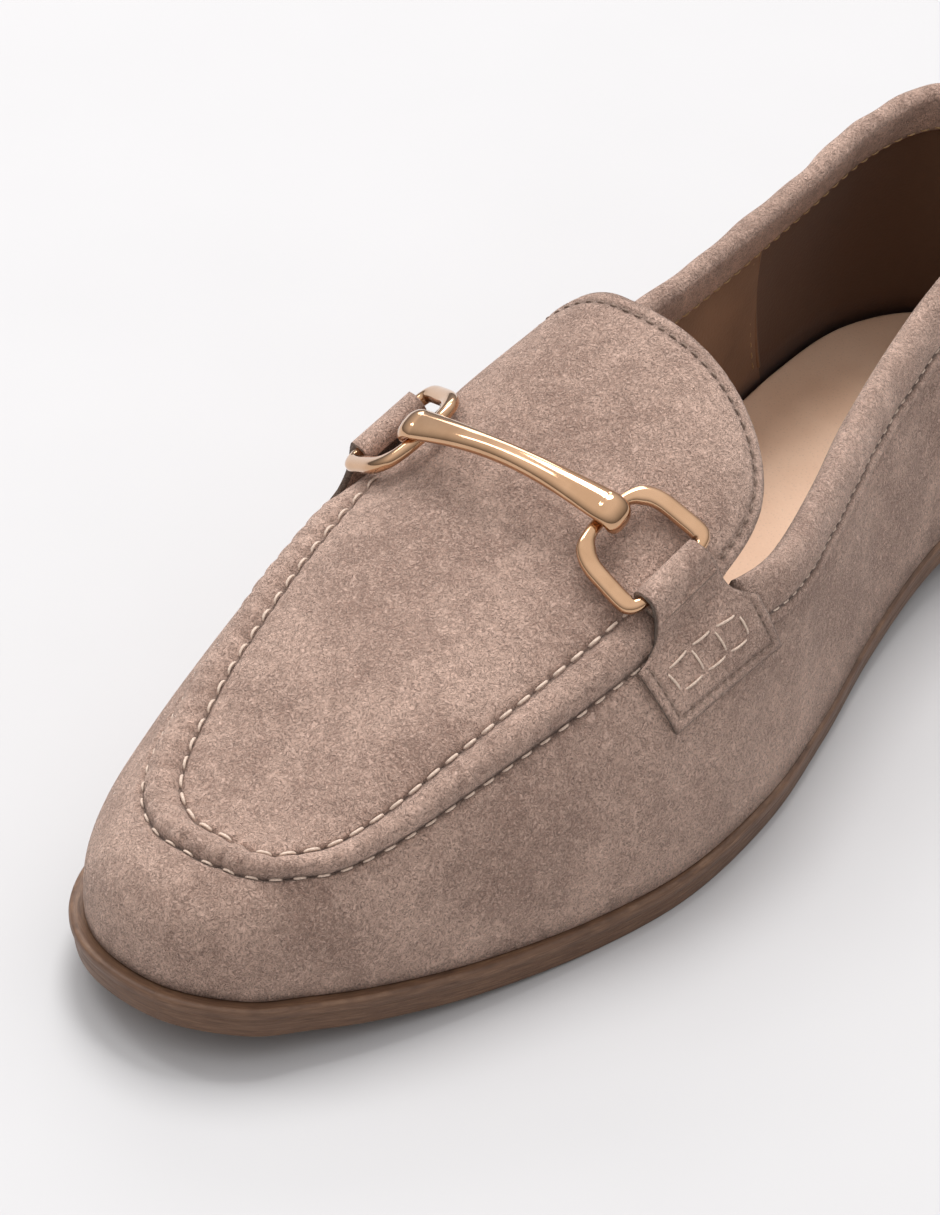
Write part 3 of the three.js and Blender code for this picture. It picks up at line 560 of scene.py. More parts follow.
suede_finish = suede("suede", *TAUPE)
raw_finish = suede("suede_cut_edge", *CUT_TAUPE, 0.8)
edge_finish = stacked_edge()
sock_finish = smooth_leather("sock_leather", *TAN, 0.5)
lining_finish = smooth_leather("lining_leather", *BROWN, 0.6, HEEL_BROWN)
thread = thread_finish("thread", *PALE_THREAD)
lining_thread = thread_finish("lining_thread", *GOLDEN_THREAD)
# Painted shade: a thread material darkened for the shadowed stitch holes.
hole_shade_thread = thread_finish("hole_shade_thread", *HOLE_SHADE_THREAD)
gold = polished_gold()

# How far the wall stops below the top line, and the tongue's row of stitches in from its edge
FOLD_COVER = 1.6
BORDER = 2.5


def top_line(y):
    """Height of the quarters' top line."""
    return along(TOP_ALONG, TOP_HEIGHT, share_at(y)) * COLLAR_HEIGHT


def tongue_distance(p, normal):
    """How far inside the tongue's end a point lies on the surface, and the way further in.

    From above the end is a rounded box of a power. One less the level there is divided by the level's slope
    along the surface."""
    n = TONGUE_SQUARENESS
    u = (p[..., 0] - TONGUE_CENTRE) / TONGUE_HALF
    v = np.maximum(0, (p[..., 1] - TONGUE_ROOT) / TONGUE_DEPTH)
    level = np.abs(u) ** n + v**n
    radius = level ** (1 / n)
    scale = np.maximum(radius, 1e-6) ** (1 - n)
    slope = np.stack([
        np.sign(u) * np.abs(u) ** (n - 1) / TONGUE_HALF * scale,
        v ** (n - 1) / TONGUE_DEPTH * scale,
        np.zeros_like(u),
    ], -1)
    slope = slope - normal * (slope * normal).sum(-1, keepdims=True)
    return (1 - radius) / np.maximum(np.linalg.norm(slope, axis=-1), 1e-5), -unit(slope)


def seam_low(step, side):
    """Arch angle of the rolled seam's lower edge."""
    return np.where(side > 0, along(SEAM_STEP, SEAM_OUTER, step), along(SEAM_STEP, SEAM_INNER, step))


# Pitch of the rolled seam's stitches, and the roll's puff over its height in the solids
PUCKER = 4.2
ROLL_PUFF = 1.12


def seam_run(side, part):
    """Step and length from the toe tip along the roll: part 0 is its lower edge, 1 its upper."""
    step = np.linspace(0, 7, 400)
    return step, run_length(last(step, side, seam_low(step, side) + ROLL_ANGLE * part))


def pinch(length):
    """One where a stitch pulls the roll in, falling off to nought between."""
    return (0.5 + 0.5 * np.cos(2 * np.pi * length / PUCKER)) ** 2


def roll_lift(step, side, angle):
    """Height of the rolled seam, and the shade painted into its creases: a puffed ridge between two creases.

    The ridge is half a sine's wave to a power. Bells at its two edges cut the creases, and every stitch draws
    it in there, so that the leather swells between the stitches."""
    t = (angle - seam_low(step, side)) / ROLL_ANGLE
    end = np.clip((ROLL_END_STEP - step) / ROLL_FADE_STEPS, 0, 1)
    low = np.where(side > 0, np.interp(step, *seam_run(1, 0)), np.interp(step, *seam_run(-1, 0)))
    high = np.where(side > 0, np.interp(step, *seam_run(1, 1)), np.interp(step, *seam_run(-1, 1)))
    uneven = 1 + 0.07 * np.sin(low / 7.3) * side + 0.05 * np.sin(low / 3.1) * side
    ridge = ROLL_PUFF * ROLL_HEIGHT * uneven * np.sin(np.pi * np.clip(t, 0, 1)) ** 0.6
    lower_hole, upper_hole = pinch(low), pinch(high + PUCKER / 2)
    drawn = 1 - 0.42 * lower_hole * np.exp(-((t / 0.34) ** 2))
    drawn = drawn - 0.34 * upper_hole * np.exp(-(((t - 1) / 0.35) ** 2))
    crease = 0.75 * np.exp(-((t / 0.1) ** 2)) + 0.65 * np.exp(-(((t - 1) / 0.09) ** 2))
    tuck = 0.2 * upper_hole * np.exp(-(((t - 1.12) / 0.3) ** 2))
    swell = 0.25 * (1 - lower_hole) * np.exp(-(((t + 0.2) / 0.2) ** 2))
    swell = swell + 0.1 * (1 - upper_hole) * np.exp(-(((t - 1.25) / 0.2) ** 2))
    # Painted shade in the roll's two creases, darkest at the stitch holes.
    painted_shade = (0.45 + 0.5 * lower_hole) * np.exp(-(((t + 0.01) / 0.07) ** 2))
    painted_shade = painted_shade + (0.22 + 0.65 * upper_hole**2) * np.exp(-(((t - 1.01) / 0.06) ** 2))
    return end * (ridge * drawn - crease - tuck + swell), end * painted_shade


# Soft troughs of the wall from the side: place (y, z), lean in degrees, half length, half width, depth
OUTER_TROUGHS = [
    (-62, 24, 62, 13, 5, 0.3),
    (-38, 26, 70, 15, 5, 0.4),
    (-14, 28, 78, 17, 6, 0.45),
    (10, 30, 84, 18, 6, 0.4),
    (38, 34, 92, 20, 7, 0.5),
    (62, 38, 100, 18, 6, 0.45),
    (-82, 26, 40, 10, 5, 0.25),
    (95, 40, 105, 18, 8, 0.4),
]
INNER_TROUGHS = [
    (-55, 26, 65, 13, 5, 0.3),
    (-22, 30, 74, 16, 6, 0.4),
    (12, 32, 86, 18, 6, 0.45),
    (45, 36, 96, 20, 7, 0.5),
    (78, 40, 104, 18, 7, 0.4),
]


def soft_troughs(points, sides):
    """Listed hollows: each falls off as a bell along and across its own lean."""
    lift = np.zeros(points.shape[:-1])
    for side, troughs in ((1, OUTER_TROUGHS), (-1, INNER_TROUGHS)):
        for y, z, lean, length, width, depth in troughs:
            c, s = math.cos(math.radians(lean)), math.sin(math.radians(lean))
            dy, dz = points[..., 1] - y, points[..., 2] - z
            run, across = (dy * c + dz * s) / length, (dz * c - dy * s) / width
            bell = np.exp(-(run**2) - across**2) - 0.5 * np.exp(-(run**2) - (across - 1.5) ** 2)
            lift = lift - np.where(sides == side, depth * bell, 0)
    return lift


# Arches of the upper's skin: outline steps from and to, and how many. They lie closest by the tongue's end
UPPER_ARCHES = [(0, 5.9, 208), (5.9, 8.6, 92), (8.6, STEPS, 72)]
# Points of an arch below, on and above the roll on each side, and how far the close ones reach past the roll
BELOW_ROLL, ON_ROLL, ABOVE_ROLL = 25, 24, 31
ROLL_MARGIN = 0.06
MIDDLE = np.array([-3, 0, 20])


def upper_grid():
    """Steps, sides and angles of the upper's arches, each from the outer edge over the spine to the inner."""
    step = np.unique(np.concatenate([np.linspace(*run) for run in UPPER_ARCHES]))
    halves = []
    for side in (1, -1):
        low = seam_low(step, side)[:, None]
        near = low - ROLL_MARGIN + (ROLL_ANGLE + 2 * ROLL_MARGIN) * np.linspace(0, 1, ON_ROLL)
        below = near[:, :1] * np.linspace(0, 1, BELOW_ROLL + 1)[:-1] ** 0.85
        above = near[:, -1:] + (QUARTER - near[:, -1:]) * np.linspace(0, 1, ABOVE_ROLL + 1)[1:]
        halves.append(np.concatenate([below, near, above], 1))
    angle = np.concatenate([halves[0], halves[1][:, -2::-1]], 1)
    side = np.where(np.arange(angle.shape[1]) < halves[0].shape[1], 1, -1)
    return np.broadcast_to(step[:, None], angle.shape), np.broadcast_to(side, angle.shape), angle


def skin_normals(points):
    """Outward directions of the upper's grid: the cross product of its two runs, evened at toe and heel."""
    normal = unit(np.cross(np.gradient(points, axis=0), np.gradient(points, axis=1)))
    spine = points.shape[1] // 2
    for end, beside in ((0, 1), (-1, -2)):
        normal[end] = unit(normal[end] + normal[end][::-1])
        normal[end, spine] = normal[beside, spine]
    return np.where((normal * (points - MIDDLE)).sum(-1, keepdims=True) < 0, -normal, normal)


def make_upper():
    """Vamp, plug, tongue and quarters in one skin of arches, cut at the top line and the tongue's end.

    Its lift is the rolled seam, soft troughs in the walls, and the tongue's rim with its row of holes."""
    steps, sides, angle = upper_grid()
    points = last(steps, sides, angle)
    normal = skin_normals(points)
    inside, _ = tongue_distance(points, normal)
    behind = smooth((points[..., 1] - TONGUE_ROOT + 1) / 3)
    border = 0.34 * np.exp(-(((inside - BORDER) / 0.7) ** 2)) + 0.25 * np.exp(-((inside / 0.9) ** 2))
    puff = 0.2 * np.exp(-(((inside - 1.3) / 0.8) ** 2))
    above_top = points[..., 2] > top_line(points[..., 1]) + 2
    roll, painted_shade = roll_lift(steps, sides, angle)
    lift = roll + np.where(above_top, behind * (puff - border), 0)
    ends = smooth(steps / 2) * smooth((STEPS - steps) / 2)
    lift = lift + soft_troughs(points, sides) * ends * smooth(angle / 0.15) * smooth((0.8 - angle) / 0.2)
    # Painted shade at the tongue's row of stitch holes and under its cut edge, added to the roll's painted
    # shade.
    hole = 0.55 * np.exp(-(((inside - BORDER) / 0.42) ** 2)) + 0.4 * np.exp(-((inside / 0.5) ** 2))
    painted_shade = painted_shade + np.where(above_top, behind * hole, 0)
    points = points + normal * lift[..., None]
    points = np.concatenate([points, painted_shade[..., None]], -1)
    for end in (0, -1):
        points[end] = (points[end] + points[end][::-1]) / 2
    top = points[..., 2] - (top_line(points[..., 1]) - FOLD_COVER)
    value = np.minimum(np.minimum(top, points[..., 1] - TONGUE_ROOT), -inside)
    faces = grid_faces(*angle.shape, flip=True)
    skin, tris = kept(points.reshape(-1, 4), faces, value.ravel())
    finishes = [suede_finish, lining_finish, raw_finish]
    crease = np.clip(skin[:, 3], 0, 1)
    made = piece("suede_upper", skin[:, :3], tris, finishes, ["upper"], crease=crease)
    wall = made.modifiers.new("wall", "SOLIDIFY")
    wall.thickness = WALL * MM
    wall.offset = -1
    wall.material_offset = 1
    wall.material_offset_rim = 2


def top_angle(step, side):
    """Arch angle at which the last meets the top line, by halving."""
    low, high = np.full(step.shape, 0.05), np.full(step.shape, QUARTER)
    for _ in range(40):
        middle = (low + high) / 2
        p = last(step, side, middle)
        over = p[..., 2] > top_line(p[..., 1])
        low, high = np.where(over, low, middle), np.where(over, middle, high)
    return (low + high) / 2


def down_from_top(step, side, down, lift):
    """Points at distances down the last from the top line and at heights above it, and their outward ways.

    Each arch is walked down from the top line in short lengths. Above the line it runs straight on."""
    top = top_angle(step, side)
    share = np.linspace(0, 0.5, 60)
    angles = top[:, None] * (1 - share)
    walk = last(step[:, None], side[:, None], angles)
    length = np.linalg.norm(np.diff(walk, axis=1), axis=-1).cumsum(1)
    length = np.concatenate([np.zeros((len(step), 1)), length], 1)
    inside = np.maximum(down, 0)
    place = (length[:, None, :] < inside[:, :, None]).sum(-1) - 1
    place = np.clip(place, 0, len(share) - 2)
    here = np.take_along_axis(length, place, 1)
    there = np.take_along_axis(length, place + 1, 1)
    t = np.clip((inside - here) / (there - here), 0, 1)
    at = np.take_along_axis(angles, place, 1) * (1 - t) + np.take_along_axis(angles, place + 1, 1) * t
    steps = np.broadcast_to(step[:, None], at.shape)
    sides = np.broadcast_to(side[:, None], at.shape)
    out = facing(steps, sides, at)
    run = unit(walk[:, 0] - walk[:, 2])[:, None]
    points = last(steps, sides, at) + run * np.maximum(-down, 0)[..., None]
    return points + out * lift[..., None], out


# Folded collar: distance down from the top line and height above the last, once round the band
COLLAR_DOWN = [
    8.6, 8.4, 7, 5, 3, 1.2, 0, -0.8, -1.1, -0.9, -0.2, 0.9, 2.3, 4, 5.6,
    6.8, 7.4, 7.8, 8.1, 8.5, 9.2, 9.9, 10.3, 10.4, 10.2, 6, 0.8, 0.6, 0.8, 5,
]
COLLAR_LIFT = [
    -1.75, -2.2, -2.6, -2.8, -2.8, -2.6, -2.2, -1.3, -0.2, 0.8, 1.7, 2.3, 2.6, 2.65, 2.4,
    1.85, 1.35, 1.1, 1.25, 1.55, 1.7, 1.65, 1.35, 0.8, 0.1, 0.1, 0.1, -0.8, -1.7, -1.7,
]
# Outline steps of its two front ends, and its seams' distances down from the top line
COLLAR_FRONT_OUTER = 6.75
COLLAR_FRONT_INNER = 6.95
COLLAR_SEAM = 7.85
COLLAR_INNER_SEAM = 7.4
COLLAR_EDGE = 10.5
# Pitch, filled share and radius of the fine stitches round the mouth
FINE_ROW = (3.0, 0.66, 0.19)


def collar_stations(count):
    """Steps and sides from the outer throat round the heel to the inner throat."""
    outer = np.linspace(COLLAR_FRONT_OUTER, STEPS - 0.01, count)
    inner = np.linspace(STEPS - 0.01, COLLAR_FRONT_INNER, count)
    return np.concatenate([outer, inner]), np.repeat([1, -1], count)


def make_collar():
    """The folded band: its profile carried along the top line, thin where it slips under the straps."""
    step, side = collar_stations(150)
    row = np.arange(len(COLLAR_DOWN) + 1)
    fine = np.linspace(0, len(COLLAR_DOWN), 2 * len(COLLAR_DOWN) + 1)[:-1]
    down = np.interp(fine, row, COLLAR_DOWN + COLLAR_DOWN[:1])
    lift = np.interp(fine, row, COLLAR_LIFT + COLLAR_LIFT[:1])
    front = np.where(side > 0, step - COLLAR_FRONT_OUTER, step - COLLAR_FRONT_INNER)
    full = 0.25 + 0.75 * smooth((front - 0.1) / 0.5)
    uneven = 1 + 0.08 * np.sin(step * 5.1 + side) + 0.06 * np.sin(step * 11.7)
    lifts = np.where(lift > 0.1, 0.1 + (lift - 0.1) * (full * uneven)[:, None], lift)
    downs = np.broadcast_to(down, lifts.shape)
    points, _ = down_from_top(step, side, downs, lifts)
    loops, faces = tube(points, flip=True)
    outside = (fine > 14) & (fine < 25)
    # Painted shade in the stitch groove and in the crease at the band's lower edge, on its outside.
    painted_shade = np.where(outside, 0.95 * np.exp(-(((down - COLLAR_SEAM) / 0.4) ** 2)), 0)
    painted_shade = painted_shade + np.where(outside, 0.9 * np.exp(-(((down - COLLAR_EDGE) / 0.35) ** 2)), 0)
    painted_shade = np.broadcast_to(painted_shade, lifts.shape)
    piece("suede_collar", loops, faces, suede_finish, ["collar"], crease=painted_shade)
    height = 0.1 + 0.92 * full * uneven
    groove, out = down_from_top(step, side, np.full((len(step), 1), COLLAR_SEAM), height[:, None])
    sew("collar_stitches", groove[:, 0], out[:, 0], *FINE_ROW, 0.22, thread)
    one = np.ones((len(step), 1))
    inner, out = down_from_top(step, side, COLLAR_INNER_SEAM * one, -2.62 * one)
    sew("collar_inner_stitches", inner[:, 0], -out[:, 0], *FINE_ROW, 0.16, lining_thread)


def make_lining_seam():
    """The heel lining's front edge: a bead down the inside of each wall, with a row of stitches before it."""
    for side, label in ((1, "outer"), (-1, "inner")):
        z = np.linspace(56, 18, 90)
        step, angle, _ = find(Y, Z, LINING_SEAM - LINING_SLANT * z, z, side, 10.6, 0.3)
        sides = np.full(step.shape, side)
        out = facing(step, sides, angle)
        middle = last(step, sides, angle) - out * (WALL + 0.05)
        run = unit(np.gradient(middle, axis=0))
        across = unit(np.cross(run, out))
        a = np.arange(8) * math.pi / 4
        ring = 0.5 * np.cos(a)[:, None] * across[:, None] + 0.35 * np.sin(a)[:, None] * out[:, None]
        points, faces = tube(middle[:, None] + ring)
        piece("lining_bead_" + label, points, faces, lining_finish)
        step, angle, _ = find(Y, Z, LINING_SEAM - 2 - LINING_SLANT * z, z, side, 10.5, 0.3)
        out = facing(step, sides, angle)
        row = last(step, sides, angle) - out * (WALL + 0.02)
        sew("lining_stitches_" + label, row, -out, *FINE_ROW, 0.14, lining_thread)


def on_seam(side, part, length, height):
    """Points and outward directions at lengths from the toe tip along the roll, part 0 at its lower edge."""
    step = np.interp(length, *seam_run(side, part)[::-1])
    sides = np.full(step.shape, side)
    angle = seam_low(step, side) + ROLL_ANGLE * part
    return lifted(step, sides, angle, np.full(step.shape, height)), facing(step, sides, angle)


def make_seam_stitches():
    """Threads of the rolled seam: from hole to hole in its upper crease, and between notches in its lower."""
    for side, label in ((1, "outer"), (-1, "inner")):
        total = np.interp(6.0, *seam_run(side, 1))
        hole = (np.arange(int(total / PUCKER)) + 0.5) * PUCKER
        start, _ = on_seam(side, 1.04, hole + 0.5, 0.05)
        end, _ = on_seam(side, 1.04, hole + PUCKER - 0.8, 0.05)
        _, out = on_seam(side, 1.03, hole + PUCKER / 2, 0.0)
        stitches("plug_stitches_" + label, start, end, out, 0.3, 0.34, thread)
        total = np.interp(6.0, *seam_run(side, 0))
        hole = np.arange(int(total / PUCKER)) * PUCKER
        start, _ = on_seam(side, -0.03, hole + 0.95, -0.12)
        end, _ = on_seam(side, -0.03, hole + PUCKER - 0.95, -0.12)
        _, out = on_seam(side, -0.03, hole + PUCKER / 2, 0.0)
        stitches("apron_stitches_" + label, start, end, out, 0.24, 0.28, thread)


def make_tongue_stitches():
    """A fine row that follows the tongue's end a little inside its cut edge."""
    turn = np.linspace(0.02, np.pi - 0.02, 260)
    power = 2 / TONGUE_SQUARENESS
    x = TONGUE_CENTRE + TONGUE_HALF * np.sign(np.cos(turn)) * np.abs(np.cos(turn)) ** power
    y = TONGUE_ROOT + TONGUE_DEPTH * np.sin(turn) ** power
    best = [find(X, Y, x, y, side, 8, 1.3) for side in (1, -1)]
    outer = best[0][2] < best[1][2]
    step, angle = (np.where(outer, best[0][k], best[1][k]) for k in (0, 1))
    side = np.where(outer, 1, -1)
    miss = np.minimum(best[0][2], best[1][2])
    point, out = last(step, side, angle), facing(step, side, np.minimum(angle, QUARTER - 0.03))
    _, inward = tongue_distance(point, out)
    good = (miss < 0.1) & (point[:, 2] > top_line(point[:, 1]) + 0.5)
    curve, out = (point + inward * BORDER - out * 0.25)[good], out[good]
    # Painted shade: the tongue's stitches use thread darkened for their shadowed holes.
    sew("tongue_stitches", curve, out, 2.7, 0.6, 0.24, 0.26, hole_shade_thread)


# Sole's edge from its underside to the upper's seat, as shares: inset of LEDGE, height of SOLE_THICKNESS
EDGE_INSET = [0.6, 0.36, 0.32, 0.3, 0.26, 0.28, 0.25, 0.27, 0.2, 0.06, 0, 0, 0.05, 0.16, 0.36, 0.9, 2.2]
EDGE_HEIGHT = [0, 0.03, 0.1, 0.2, 0.3, 0.38, 0.46, 0.54, 0.62, 0.68, 0.76, 0.84, 0.92, 0.97, 1, 1, 1]


def round_stations(count):
    """Steps and sides once round the outline from the toe tip, outer side first."""
    step = np.linspace(0, STEPS, count + 1)
    return np.concatenate([step[:-1], step[:0:-1]]), np.repeat([1, -1], count)


def round_loops(count, inset, height, base, reach=None):
    """Loops round the outline, and the length round it: each has an inset and a height over a base line.

    reach adds an inset that changes along the shoe."""
    step, side = round_stations(count)
    edge, out = outline(step, side)
    more = reach(edge[:, 1]) if reach else 0
    plan = edge - out * (inset[:, None] + more)[..., None]
    rise = height[:, None] + base(plan[..., 1])
    return np.concatenate([plan, rise[..., None]], -1), run_length(edge)


def edge_run(length, height, inset):
    """Map of an edge for its streaks: the length round it, and the way up and out over its profile."""
    return np.stack(np.broadcast_arrays(length[None, :] * MM, (height - inset * 0.5)[:, None] * MM), -1)


# Insets of the two loops that lead to the middle of the sole, above and below
SOLE_INNER_INSETS = [4.4 * LEDGE, 20]


def make_outsole():
    """The slim sole unit: its edge profile carried round the outline."""
    row = np.arange(len(EDGE_INSET))
    fine = np.linspace(0, row[-1], 3 * row[-1] + 1)
    inset = np.interp(fine, row, EDGE_INSET) * LEDGE
    height = np.interp(fine, row, EDGE_HEIGHT) * SOLE_THICKNESS
    inset = np.concatenate([SOLE_INNER_INSETS[::-1], inset, SOLE_INNER_INSETS])
    height = np.concatenate([[0, 0], height, [SOLE_THICKNESS, SOLE_THICKNESS]])
    loops, length = round_loops(300, inset, height, underside)
    points, faces = tube(loops, flip=True)
    uv = edge_run(length, height, inset)
    piece("sole_unit", points, faces, edge_finish, ["outsole"], uv=uv)


# Heel block from the tread up: height as a share of its room under the sole, and inset in millimetres
HEEL_BREAST_STEP = 10.49
HEEL_HEIGHT = np.array([0, 0, 0.04, 0.12, 0.3, 0.34, 0.38, 0.6, 0.64, 0.68, 0.9, 1, 1])
HEEL_INSET = np.array([12, 1.9, 1.35, 1.2, 1.1, 1.25, 1.1, 1.0, 1.15, 1.0, 0.9, 0.85, 12])


def make_heel():
    """The low heel block behind its breast: stacked lifts with a rounded tread edge."""
    half = np.linspace(HEEL_BREAST_STEP, STEPS, 90)
    step = np.concatenate([half[:-1], half[::-1]])
    side = np.repeat([1, -1], [len(half) - 1, len(half)])
    edge, out = outline(step, side)
    plan = edge[None] - out[None] * HEEL_INSET[:, None, None]
    top = underside(plan[..., 1]) - GAP
    loops = np.concatenate([plan, (HEEL_HEIGHT[:, None] * top)[..., None]], -1)
    points, faces = tube(loops, flip=True)
    uv = edge_run(run_length(edge), HEEL_HEIGHT * SEAT_RISE, HEEL_INSET)
    piece("heel_block", points, faces, edge_finish, ["heel"], uv=uv)


# Sock from its underside over its rounded edge to its top: inset beyond the wall, and height over the sole
SOCK_INSET = np.array([10, 5, 0.3, 0, 0, 0.25, 0.7, 1.6, 4, 8, 14, 20])
SOCK_HEIGHT = np.array([0.3, 0.3, 0.3, 0.6, 1.7, 2.15, 2.3, 2.35, 2.3, 2.2, 2.1, 2.05])
WALL_ROOM = 1.8 + 2 * GAP


def make_insole():
    """The sock: a thin leather sheet over its board, slightly dished."""
    loops, _ = round_loops(160, SOCK_INSET + WALL_ROOM, SOLE_THICKNESS + SOCK_HEIGHT, underside, ledge_at)
    points, faces = tube(loops, flip=True)
    piece("sock", points, faces, sock_finish, ["insole"])


# The bit: places on the last, as step, angle and height by side, of a ring's eye and of the fold it hangs in
EYE_AT = {1: (6.3, 1.37, 4.4), -1: (6.3, 1.32, 4.2)}
FOLD_AT = {1: (6.3, 1.03, 3.4), -1: (6.5, 0.98, 3.4)}
FOLD_SPAN = 0.3
RING_WIDTH = 20
RING_DEPTH = 15.5
# Its wire, narrow at the eye and in the fold
WIRE_HEIGHT = 2.5
WIRE_WIDTH = 3.5
WIRE_NARROW = 2.3
RING_STATIONS = 240
BAR_WIDTH = 6.6
BAR_WAIST = 4.4
BAR_THICKNESS = 2.6
BAR_ARCH = 3
BAR_CURL = 3


def ring_frame(side):
    """Eye, centre and directions of a ring: down to its fold, back along the shoe, and up off the instep."""
    step, angle, height = EYE_AT[side]
    eye = lifted(step, side, angle, height)
    step, angle, height = FOLD_AT[side]
    down = unit(lifted(step, side, angle, height) - eye)
    rising = last(step + FOLD_SPAN, side, angle) - last(step - FOLD_SPAN, side, angle)
    back = unit(rising - down * (rising @ down))
    up = np.cross(down, back) * side
    return eye, eye + down * RING_DEPTH / 2, down, back, up


def super_power(v, power):
    """Signed power."""
    return np.sign(v) * np.abs(v) ** power


def make_ring(side, label):
    """A stirrup-shaped ring: squarer at its straight side, rounder at the eye, with a flat bevelled wire."""
    _, centre, down, back, up = ring_frame(side)

    def path(angle):
        power = np.where(np.sin(angle) > 0, 2 / 7, 2 / 3)
        v = super_power(np.sin(angle), power)
        u = super_power(np.cos(angle), power) * (1 - 0.06 * (1 - v))
        return np.stack([u * RING_WIDTH / 2, v * RING_DEPTH / 2], -1), v

    line, levels = path(np.linspace(0, 2 * np.pi, 4001))
    length = run_length(line)
    even = np.linspace(0, length[-1], RING_STATIONS + 1)[:-1]
    place = np.stack([np.interp(even, length, line[:, k]) for k in (0, 1)], 1)
    level = np.interp(even, length, levels)
    run = unit(np.roll(place, -2, 0) - np.roll(place, 2, 0))
    side_way = np.stack([run[:, 1], -run[:, 0]], 1)
    wide = WIRE_NARROW + (WIRE_WIDTH - WIRE_NARROW) * smooth((1 - np.abs(level)) / 0.25)
    a = np.linspace(0, 2 * np.pi, 25)[:-1]
    out = super_power(np.cos(a), 0.8) * 0.5
    high = super_power(np.sin(a), 0.8) * WIRE_HEIGHT / 2
    flat = place[:, None] + side_way[:, None] * (wide[:, None] * out)[..., None]
    points = centre + flat[..., :1] * back + flat[..., 1:] * down + high[None, :, None] * up
    faces = grid_faces(*points.shape[:2], True, True, flip=side > 0)
    piece("bit_ring_" + label, points, faces, gold, ["ring_" + label])


def make_bar():
    """The bar: one section carried over the instep, whose ends curl round the eyes of both rings."""
    eyes = [ring_frame(side) for side in (-1, 1)]
    start, end = eyes[0][0], eyes[1][0]
    span = end - start
    back = unit(eyes[0][3] + eyes[1][3])
    length = np.linalg.norm(span)
    over = span / length
    back = unit(back - over * (back @ over))
    up = unit(np.cross(over, back))
    turns = np.radians(np.linspace(205, 90, 26))
    left = np.stack([np.cos(turns), np.sin(turns)], 1) * BAR_CURL
    t = np.linspace(0, 1, 90)[1:-1]
    arch = np.stack([t * length, BAR_CURL + BAR_ARCH * (4 * t * (1 - t)) ** 1.1], 1)
    right = np.stack([length - left[::-1, 0], left[::-1, 1]], 1)
    path = np.concatenate([left, arch, right])
    run = unit(np.gradient(path, axis=0))
    rise = np.stack([-run[:, 1], run[:, 0]], 1)
    s = np.clip(path[:, 0] / length, 0, 1)
    waist = (4 * s * (1 - s)) ** 1.3
    tips = np.minimum(np.arange(len(path)), np.arange(len(path))[::-1])
    rounding = np.sqrt(np.clip((tips + 0.6) / 9, 0, 1))
    wide = (BAR_WIDTH - (BAR_WIDTH - BAR_WAIST) * waist) * (0.55 + 0.45 * rounding)
    thick = (BAR_THICKNESS + 0.3 * waist) * (0.45 + 0.55 * rounding)
    a = np.linspace(0, 2 * np.pi, 49)[:-1]
    across = super_power(np.cos(a), 0.75) / 2
    high = super_power(np.sin(a), 0.7) / 2
    taper = np.where(high > 0, 1 - 0.5 * high, 1)
    flat = wide[:, None] * (across * taper)[None, :]
    tall = thick[:, None] * high[None, :]
    centre = start + path[:, :1] * over + path[:, 1:] * up
    lift = rise[:, :1] * over + rise[:, 1:] * up
    loops = centre[:, None] + flat[..., None] * back + tall[..., None] * lift[:, None]
    points, faces = tube(loops)
    piece("bit_bar", points, faces, gold, ["bar"])


# Edges of a strap seen along its ring's up direction: distances back along the shoe and down the instep from
# the ring's straight side, as shares of FOLD_WIDTH. The last two places of each edge are the base's corners
FOLD_WIDTH = 14.5
FRONT_BACK = [-0.49, -0.5, -0.63, -0.87, -1.09, -1.08]
FRONT_DOWN = [0, 0.16, 0.35, 0.46, 0.5, 1.28]
REAR_BACK = [0.49, 0.53, 0.57, 0.65, 0.88, 0.9]
REAR_DOWN = [0, 0.22, 0.43, 0.58, 0.77, 1.35]
EDGE_ROW = [0, 0.12, 0.28, 0.4, 0.5, 1]
INNER_SHORTENING = 0.78
FOLD_RADIUS = 2.35
STRAP_THICKNESS = 1.35
# A strap's rough width and length, for the distance to its edges
STRAP_SPREAD = 27
STRAP_RUN = 24
# Rows of stitches on the base, as shares of the way back and down: its rim, and the long sides of its box
RIM_ROW = [(0.075, 0.03), (0.07, 0.85), (0.93, 0.85), (0.93, 0.08)]
BOX_TOP = [(0.15, 0.2), (0.375, 0.1), (0.58, 0.06), (0.79, 0.08)]
BOX_BOTTOM = [(0.17, 0.57), (0.375, 0.55), (0.584, 0.53), (0.78, 0.52)]


